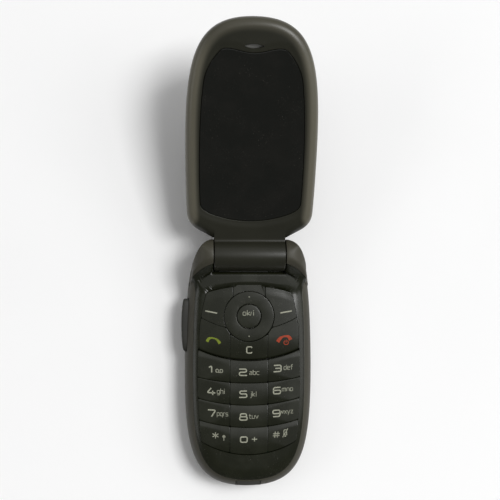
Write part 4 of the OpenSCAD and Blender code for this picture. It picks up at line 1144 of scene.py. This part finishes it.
def ribbon(path, width, top, r=0.25):
    """A flat ribbon along a path: at each point the path's left-hand normal gives its edges, and top(x, y) its height.
    width may change along the path. An open end reaches 0.3 of the width further."""
    p, loop = softened(path, r)
    d = np.roll(p, -1, 0) - np.roll(p, 1, 0) if loop else np.gradient(p, axis=0)
    d /= np.hypot(*d.T)[:, None]
    if not loop:
        w0 = np.atleast_1d(width)[0] / 2
        p = p.copy()
        p[0] -= d[0] * w0 * 0.6
        p[-1] += d[-1] * w0 * 0.6
    left = np.column_stack([-d[:, 1], d[:, 0]])
    half = np.interp(np.linspace(0, 1, len(p)), np.linspace(0, 1, np.size(width)), np.atleast_1d(width)) / 2
    edges = [p + left * half[:, None], p - left * half[:, None]]
    z = [top(e[:, 0], e[:, 1]) for e in edges]
    corner = [np.column_stack([edges[0], z[0] - INK_ROOT]), np.column_stack([edges[0], z[0] + INK_T]),
              np.column_stack([edges[1], z[1] + INK_T]), np.column_stack([edges[1], z[1] - INK_ROOT])]
    return loft(np.stack(corner, 1), closed=loop)


def word(text, centre, sx, sy, width, top, slope=0.0, gap=1.1):
    """A row of figures about a centre; sx and sy are the millimetres of one grid step, slope is its rise along X."""
    names = [text] if text in GLYPHS else list(text)
    wide = [max(x for path in GLYPHS[g] for x, _ in path) for g in names]
    x = -(sum(wide) + gap * (len(names) - 1)) / 2
    tall = 6 if names[0] in "0123456789*#+C" or len(names[0]) > 1 else 4
    parts = []
    for g, w in zip(names, wide):
        for path in GLYPHS[g]:
            p = (np.array(path, float) + [x, -tall / 2]) * [sx, sy]
            p = np.column_stack([centre[0] + p[:, 0], centre[1] + p[:, 1] + slope * p[:, 0]])
            parts.append(ribbon(p, width, top, r=1.5 * width))
        x += w + gap
    return parts


def dot(centre, r, top):
    """A round spot of ink as flat as a coin."""
    z = float(top(np.array([centre[0]]), np.array([centre[1]]))[0])
    return [prism(circle(*centre, r, 20), z - INK_ROOT, z + INK_T)]


print("ink stands", INK_T, "mm above its key")

# %% [markdown]
# ## Which legend goes on which key
# A number key carries its figure and, beside it, a small group of letters or a sign. The rows hang in arcs, so the
# marks of the outer columns rise a little outwards. Places could be worked out from the key's middle. They are written
# down here, because printed legends are set by eye.

# %% Legends of the number keys
PRINT = {
    "key_1": [("1", (-13.5, -38.7)), ("mail", (-10.2, -39.0))],
    "key_2": [("2", (-2.1, -39.9)), ("abc", (1.8, -40.2))],
    "key_3": [("3", (9.8, -38.65)), ("def", (13.5, -38.5))],
    "key_4": [("4", (-13.0, -46.4)), ("ghi", (-9.7, -46.6))],
    "key_5": [("5", (-2.0, -47.4)), ("jkl", (1.5, -47.6))],
    "key_6": [("6", (9.6, -46.25)), ("mno", (13.2, -45.9))],
    "key_7": [("7", (-12.65, -53.8)), ("pqrs", (-9.1, -54.2))],
    "key_8": [("8", (-1.9, -55.15)), ("tuv", (1.6, -55.2))],
    "key_9": [("9", (9.4, -54.05)), ("wxyz", (12.9, -53.6))],
    "key_star": [("*", (-11.5, -61.4)), ("up", (-8.6, -62.1))],
    "key_0": [("0", (-1.8, -62.9)), ("+", (1.8, -62.8))],
    "key_hash": [("#", (9.45, -61.3)), ("bell", (12.5, -60.75))],
}
SLOPES = [-0.05, 0, 0.05]                              # rise of the marks in the three columns
# Millimetres of one grid step along and across, and width of the stroke.
DIGIT_SIZE, LETTER_SIZE = (0.62, 0.36, 0.42), (0.30, 0.27, 0.165)
SIGN_SIZE = {"0": (0.62, 0.30, 0.42), "*": (0.52, 0.34, 0.28), "#": (0.52, 0.34, 0.28), "+": (0.52, 0.34, 0.28),
             "up": (0.42, 0.34, 0.24), "bell": (0.42, 0.46, 0.24), "mail": (0.52, 0.34, 0.24),
             "pqrs": (0.27, 0.27, 0.165), "wxyz": (0.27, 0.27, 0.165)}


def on_key(name):
    """Height of a key's top, as a function of place alone."""
    return lambda x, y: key_height(name, x, y)


ink = {}
for k, (name, marks) in enumerate(PRINT.items()):
    ink[name] = []
    for text, at in marks:
        mark_size = SIGN_SIZE.get(text, DIGIT_SIZE if text.isdigit() else LETTER_SIZE)
        ink[name] += word(text, at, *mark_size, on_key(name), SLOPES[k % 3], gap=1.0)
print(sum(len(parts) for parts in ink.values()), "strokes on the number keys")

# %% Legends of the upper keys
def round_nav_middle(height):
    """A height that depends on the distance to the middle of the four-way key, as a function of place."""
    return lambda x, y: height(np.hypot(x - NAV[0], y - NAV[1]))


on_select, on_ring = round_nav_middle(select_height), round_nav_middle(ring_height)
ink["key_clear"] = word("C", (0, -32.3), 0.5, 0.36, 0.4, on_key("key_clear"))
ink["key_select"] = word("ok", (-0.9, -19.85), 0.36, 0.28, 0.2, on_select)
ink["key_select"] += word("i", (1.45, -19.85), 0.3, 0.28, 0.2, on_select)
ink["key_select"] += [ribbon([(0.5, -20.4), (0.85, -19.2)], 0.15, on_select)]
ink["nav_key"] = dot((0, -14.1), 0.2, on_ring) + dot((0, -27.6), 0.2, on_ring)
ink["key_soft_left"] = [ribbon([(-14.9, -18.9), (-11.1, -19.65)], 0.45, on_key("key_soft_left"))]
ink["key_soft_right"] = [ribbon([(10.9, -19.6), (14.6, -18.95)], 0.45, on_key("key_soft_right"))]
for name, parts in ink.items():
    finish(solid("ink", together(*parts)), "legend_" + name, None, name)

# %% [markdown]
# ## Call and end signs
# The two handsets are one bent stroke each, wide at the ends and narrow in the middle. Drawing them as outlines would
# take many more points. The end sign is the mirror image of the call sign, a little bolder, over a small power sign.

# %% Call and end signs
handset = np.array([(-2.35, -0.15), (-1.9, 0.75), (-0.7, 1.05), (0.7, 0.75), (1.7, 0.05), (2.35, -0.9)]) * 0.88
wide = np.array([1.0, 0.85, 0.5, 0.5, 0.75, 1.0])      # width of the stroke from end to end
call_sign = [ribbon(handset + [-12.2, -29.0], wide, on_key("key_call"), r=0.8)]
finish(solid("ink", together(*call_sign)), "sign_call", None, "key_call")
end_sign = [ribbon((handset * [-1, 1])[::-1] + [12.1, -28.45], wide * 1.25, on_key("key_end"), r=0.8)]
end_sign += word("power", (12.7, -29.65), 0.46, 0.34, 0.26, on_key("key_end"))
finish(solid("ink", together(*end_sign)), "sign_end", None, "key_end")

# %% [markdown]
# ## Shader arithmetic
# A finish is a small graph of nodes. It could be clicked together in the shader editor, but a pattern is easier to read
# as a sum. So one class wraps an output and turns + - * into Math nodes, also where the number stands on the left.

# %% Outputs that can be added and multiplied
class Wire:
    """An output of a graph; arithmetic on it adds Math nodes."""

    def __init__(self, graph, socket):
        self.graph, self.socket = graph, socket

    def math(self, operation, a, b):
        """One Math node with two inputs, each a number or a wire."""
        return self.graph.add("ShaderNodeMath", {"operation": operation}, {0: a, 1: b})

    def __add__(self, other): return self.math("ADD", self, other)
    def __radd__(self, other): return self.math("ADD", other, self)
    def __sub__(self, other): return self.math("SUBTRACT", self, other)
    def __rsub__(self, other): return self.math("SUBTRACT", other, self)
    def __mul__(self, other): return self.math("MULTIPLY", self, other)
    def __rmul__(self, other): return self.math("MULTIPLY", other, self)

    def between(self, a, b):
        """0 below a, 1 above b, and a smooth step between them."""
        return self.graph.add("ShaderNodeMapRange", {"interpolation_type": "SMOOTHSTEP"},
                              {"Value": self, "From Min": a, "From Max": b})


print("arithmetic for node outputs is ready")

# %% [markdown]
# ## A finish and its nodes
# Every finish starts from Blender's Principled shader. One method adds any node with its settings and its inputs, and
# the few patterns that this phone needs are short methods on top of it. Patterns are measured in object coordinates,
# which are metres, so a scale of 1000 means a wave each millimetre.

# %% The graph of a finish
FINISH = {}              # every finish by its name


class Finish:
    """A material with a Principled shader and the graph that feeds it."""

    def __init__(self, name, **constants):
        self.mat = FINISH[name] = bpy.data.materials.new(name)
        self.mat.use_nodes = True
        self.tree = self.mat.node_tree
        self.shader = self.tree.nodes["Principled BSDF"]
        self.set(**constants)
        self.at = self.add("ShaderNodeTexCoord", out="Object")

    def feed(self, socket, value):
        """Links a wire to a socket, or writes a colour or a number on it."""
        if isinstance(value, Wire):
            self.tree.links.new(value.socket, socket)
        elif isinstance(value, tuple) and len(value) == 3 and socket.type == "RGBA":
            socket.default_value = (*value, 1)
        else:
            socket.default_value = value

    def set(self, **inputs):
        """Feeds the shader's sockets by name, with _ for a space."""
        for name, value in inputs.items():
            self.feed(self.shader.inputs[name.replace("_", " ")], value)

    def add(self, kind, settings=None, inputs=None, out=0):
        """Any node: its settings first, then the values or wires of its sockets. Gives one of its outputs."""
        node = self.tree.nodes.new(kind)
        for k, v in (settings or {}).items():
            setattr(node, k, v)
        for k, v in (inputs or {}).items():
            self.feed(node.inputs[k], v)
        return Wire(self, node.outputs[out])

    def noise(self, scale, detail=2.0, rough=0.5, stretch=None):
        """Noise between 0 and 1; scale is the number of waves in a metre."""
        at = self.at if stretch is None else self.add("ShaderNodeMapping", inputs={"Vector": self.at, "Scale": stretch})
        return self.add("ShaderNodeTexNoise",
                        inputs={"Vector": at, "Scale": scale, "Detail": detail, "Roughness": rough})

    def mix(self, mask, a, b):
        """Colour a where mask is 0 and colour b where it is 1."""
        return self.add("ShaderNodeMix", {"data_type": "RGBA"}, {"Factor": mask, 6: a, 7: b}, out=2)

    def bump(self, height, depth):
        """Normal of a relief whose height runs from 0 to 1 over depth metres."""
        return self.add("ShaderNodeBump", inputs={"Strength": 1.0, "Distance": depth, "Height": height})


def srgb(colour, k=1.0):
    """A colour given as it looks on screen, 0 to 255, k times as bright there, as a linear one."""
    v = np.minimum(np.array(colour) * k, 255) / 255
    return tuple(float(x) for x in np.where(v <= 0.04045, v / 12.92, ((v + 0.055) / 1.055) ** 2.4))


print("screen grey 128 is linear", round(srgb((128, 128, 128))[0], 3))

# %% [markdown]
# ## Painted plastic
# The covers that the hand holds are painted a satin olive grey. The paint has a very fine grain, slow changes of tone,
# and small scuffs where it has been carried. A plain grey would look like a drawing, because every real paint catches
# the light unevenly. The frame of the lid is the same paint, darker, and its rim carries a lighter colour, a painted
# highlight for the light that the rounded rim reflects.

# %% Satin paint
def satin(name, dark, light, rough, rim=None):
    """Satin paint: its tone goes from dark to light in slow waves, grain and scuffs are lighter and rougher. rim is the
    lighter colour of a painted highlight, laid where the attribute of that name is 1."""
    f = Finish(name, Specular_IOR_Level=0.34)
    tone = f.noise(38, 3, 0.55)
    grain = f.noise(5200, 2, 0.6)
    scuff = f.noise(900, 4, 0.7, (1, 0.16, 1)).between(0.63, 0.72) * f.noise(60, 2).between(0.5, 0.68)
    base = f.mix(tone.between(0.3, 0.7), srgb(dark), srgb(light))
    if rim:
        # Painted highlight: the lighter rim colour where the rim attribute is 1.
        base = f.mix(f.add("ShaderNodeAttribute", {"attribute_name": "rim"}, out="Fac"), base, srgb(rim))
    base = f.mix(grain.between(0.45, 0.75) * 0.22, base, srgb(light, 1.5))
    f.set(Base_Color=f.mix(scuff * 0.35, base, srgb(light, 1.7)),
          Roughness=rough + (tone - 0.5) * 0.16 + (grain - 0.5) * 0.12 + scuff * 0.15,
          Normal=f.bump(grain + scuff * 0.6, 0.000007))


satin("satin_shell", (52, 50, 41), (60, 58, 48), 0.5)
# The frame's rim colour is a painted highlight for the light that its round reflects.
satin("satin_frame", (31, 31, 24), (36, 36, 28), 0.32, rim=(92, 89, 77))
print(len(FINISH), "satin paints")

# %% [markdown]
# ## Glossy plastic
# The face, the keys and the windows are glossier and darker. A film of finger grease dulls the gloss in patches, dust
# lies on it, and cloth has left hairline scratches. A coat over the plastic is another way to a gloss, but one layer
# with the right roughness gives the same soft reflections.

# %% Glossy plastic
OLIVE, OLIVE_LIGHT = (24, 26, 15), (29, 31, 19)        # the dark face and its keys
DUST = (120, 116, 104)


def gloss(name, dark, light, rough, dull, grain_depth=0.000002):
    """Glossy plastic: rough where it is clean, and rougher by dull under a full film of grease."""
    f = Finish(name, Specular_IOR_Level=0.4)
    film = f.noise(110, 4, 0.6).between(0.38, 0.72)
    dust = f.noise(2600, 2, 0.5).between(0.66, 0.74) * f.noise(150, 2).between(0.45, 0.7)
    hair = f.noise(700, 3, 0.6, (1, 0.05, 1)).between(0.66, 0.7) * f.noise(90, 2).between(0.5, 0.6)
    grain = f.noise(3500, 2, 0.5)
    f.set(Base_Color=f.mix(dust * 0.3, f.mix(film, srgb(dark), srgb(light)), srgb(DUST)),
          Roughness=rough + film * dull + dust * 0.3 + hair * 0.15,
          Normal=f.bump(grain + hair * 1.5 + dust * 2, grain_depth))


gloss("gloss_face", OLIVE, OLIVE_LIGHT, 0.23, 0.07)
gloss("keycap", OLIVE, OLIVE_LIGHT, 0.26, 0.06)
gloss("window", (19, 20, 17), (24, 24, 21), 0.07, 0.03, grain_depth=0.0000001)
print(len(FINISH), "finishes with the glossy ones")

# %% [markdown]
# ## Parts inside, and ink
# Boards, metal and rubber need less, since they are seen only through gaps: one colour with a slow change of tone and a
# fine grain. The ink is matt and a little worn, in three colours.

# %% Plain finishes and inks
def plain(name, colour, rough, metallic=0.0, depth=0.000006):
    """One colour with a slow change of tone, a fine grain and an uneven gloss."""
    f = Finish(name, Metallic=metallic)
    tone, grain = f.noise(96, 3, 0.55), f.noise(3200, 2, 0.5)
    f.set(Base_Color=f.mix(tone.between(0.3, 0.7), srgb(colour, 0.86), srgb(colour, 1.1)),
          Roughness=rough + (tone - 0.5) * 0.12 + (grain - 0.5) * 0.08, Normal=f.bump(grain, depth))


def ink_finish(name, colour):
    """Matt ink that is a little thinner in places."""
    f = Finish(name, Specular_IOR_Level=0.25)
    worn = f.noise(1500, 3, 0.6)
    f.set(Base_Color=f.mix(worn.between(0.25, 0.7), srgb(colour, 0.82), srgb(colour)),
          Roughness=0.45 + (worn - 0.5) * 0.2, Normal=f.bump(worn, 0.000003))


plain("dark_plastic", (34, 34, 28), 0.45)
plain("battery", (46, 47, 50), 0.5)
plain("rubber", (70, 70, 70), 0.7, depth=0.00001)
plain("board", (28, 74, 48), 0.45, depth=0.00001)
plain("copper", (205, 160, 90), 0.3, metallic=1.0)
plain("steel", (176, 176, 172), 0.32, metallic=1.0)
ink_finish("legend_ink", (162, 163, 145))
ink_finish("green_ink", (120, 134, 40))
ink_finish("red_ink", (158, 55, 22))
print(len(FINISH), "finishes in all")

# %% [markdown]
# ## Which finish goes where
# Every solid names the slot of its finish in the record, and every new piece but the ink was given one above. The ink
# has no slot, and the frame of the lid differs from its slot. They are painted by the start of their names.

# %% Painting the pieces
REPAINT = {"legend": "legend_ink", "sign_call": "green_ink", "sign_end": "red_ink", "lid_frame": "satin_frame"}


def paint(obj, material):
    """Gives an object one material alone."""
    obj.data.materials.clear()
    obj.data.materials.append(material)


slots = {part["node"]: part["material_slot"] for part in frame["record"]["subparts"]}
for node, obj in frame["nodes"].items():
    paint(obj, FINISH[slots[node]])
for obj in bpy.data.objects:
    if obj.type == "MESH" and "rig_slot" in obj:
        paint(obj, FINISH[obj["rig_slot"]])
    for start, name in REPAINT.items():
        if obj.name.startswith(start):
            paint(obj, FINISH[name])
print("painted", len(slots), "solids and the new pieces")

# %% [markdown]
# ## Studio: the sheet
# The phone lies on a large pale sheet. A plane of one white would be quicker, but paper is never even, so its tone
# wanders by one step at random. The sheet is also made a little lighter towards the foot. It lies a hair below the
# phone, so that the two surfaces don't flicker into each other.

# %% Paper sheet
FLOOR = 12               # metres
corners = np.array([[-1, -1, 0], [1, -1, 0], [1, 1, 0], [-1, 1, 0]]) * FLOOR / 2 + [0, 0, -0.00005]
floor = solid("sheet", (corners, [[0, 1, 2, 3]]), place=np.asarray)
sheet = Finish("paper", Roughness=0.9)
along = sheet.add("ShaderNodeSeparateXYZ", inputs={"Vector": sheet.at}, out="Y")
tone = sheet.mix(sheet.noise(30, 3).between(0.3, 0.7), srgb((249, 249, 249)), srgb((250, 250, 250)))
sheet.set(Base_Color=sheet.mix(along.between(-0.09, 0.06), srgb((254, 254, 254)), tone))
floor.data.materials.append(sheet.mat)
print("sheet", FLOOR, "m wide")

# %% [markdown]
# ## Studio: light
# Glossy plastic shows what it reflects, so the boxes of light are as much a part of its look as its colour. A key light
# stands high on the right and throws the soft shadow. A broad box beyond the lid gives the face its sheen. Two low
# boxes at the sides draw the edges, and a weak even surround fills the rest. A sun lamp has no size, and the gloss
# would stay black under it.

# %% Lights
def softbox(name, azimuth, elevation, distance, size, share):
    """An area light aimed at the phone. share is the brightness that it gives to level white paper, where 1 is white:
    power = share * pi^2 * distance^2 / sin(elevation)."""
    a, e = math.radians(azimuth), math.radians(elevation)
    way = np.array([math.cos(e) * math.cos(a), math.cos(e) * math.sin(a), math.sin(e)])
    data = bpy.data.lights.new(name, "AREA")
    data.shape, data.size, data.size_y = "RECTANGLE", size[0], size[1]
    data.energy = share * math.pi ** 2 * distance ** 2 / math.sin(e)
    obj = bpy.data.objects.new(name, data)
    bpy.context.scene.collection.objects.link(obj)
    obj.location = way * distance
    obj.rotation_euler = Vector((-way).tolist()).to_track_quat("-Z", "Y").to_euler()
    print(name, "light", round(data.energy, 2), "W")


softbox("key", 24, 60, 3.0, (1.2, 1.2), 0.60)
softbox("ceiling", 90, 60, 2.0, (2.4, 2.7), 0.195)
softbox("right", 10, 34, 2.0, (1.4, 0.8), 0.09)
softbox("left", 178, 32, 1.8, (1.4, 0.5), 0.07)
world = bpy.data.worlds.new("surround")
bpy.context.scene.world = world
world.use_nodes = True
surround = world.node_tree.nodes["Background"].inputs
surround["Color"].default_value = (1, 1, 1, 1)
surround["Strength"].default_value = 0.15

# %% [markdown]
# ## Studio: camera
# The camera looks almost straight down from a third of a metre, as one looks at a thing on a table. The lens is worked
# out from the focal length in pixels, because that number doesn't depend on the size of a sensor.

# %% Camera
FOCAL, FRAME, SENSOR = 961.4, 500, 36                  # pixels, pixels, millimetres
cam_data = bpy.data.cameras.new("camera")
cam_data.sensor_width = SENSOR
cam_data.lens = FOCAL / FRAME * SENSOR
camera = bpy.data.objects.new("camera", cam_data)
bpy.context.scene.collection.objects.link(camera)
camera.location = (-0.02079, HINGE_Y * 0.001 - 0.00203, 0.34244)
camera.rotation_euler = [math.radians(a) for a in (0.69, -3.66, 0.1)]
bpy.context.scene.camera = camera
bpy.context.scene.view_settings.view_transform = "Standard"
print("lens", round(cam_data.lens, 2), "mm")
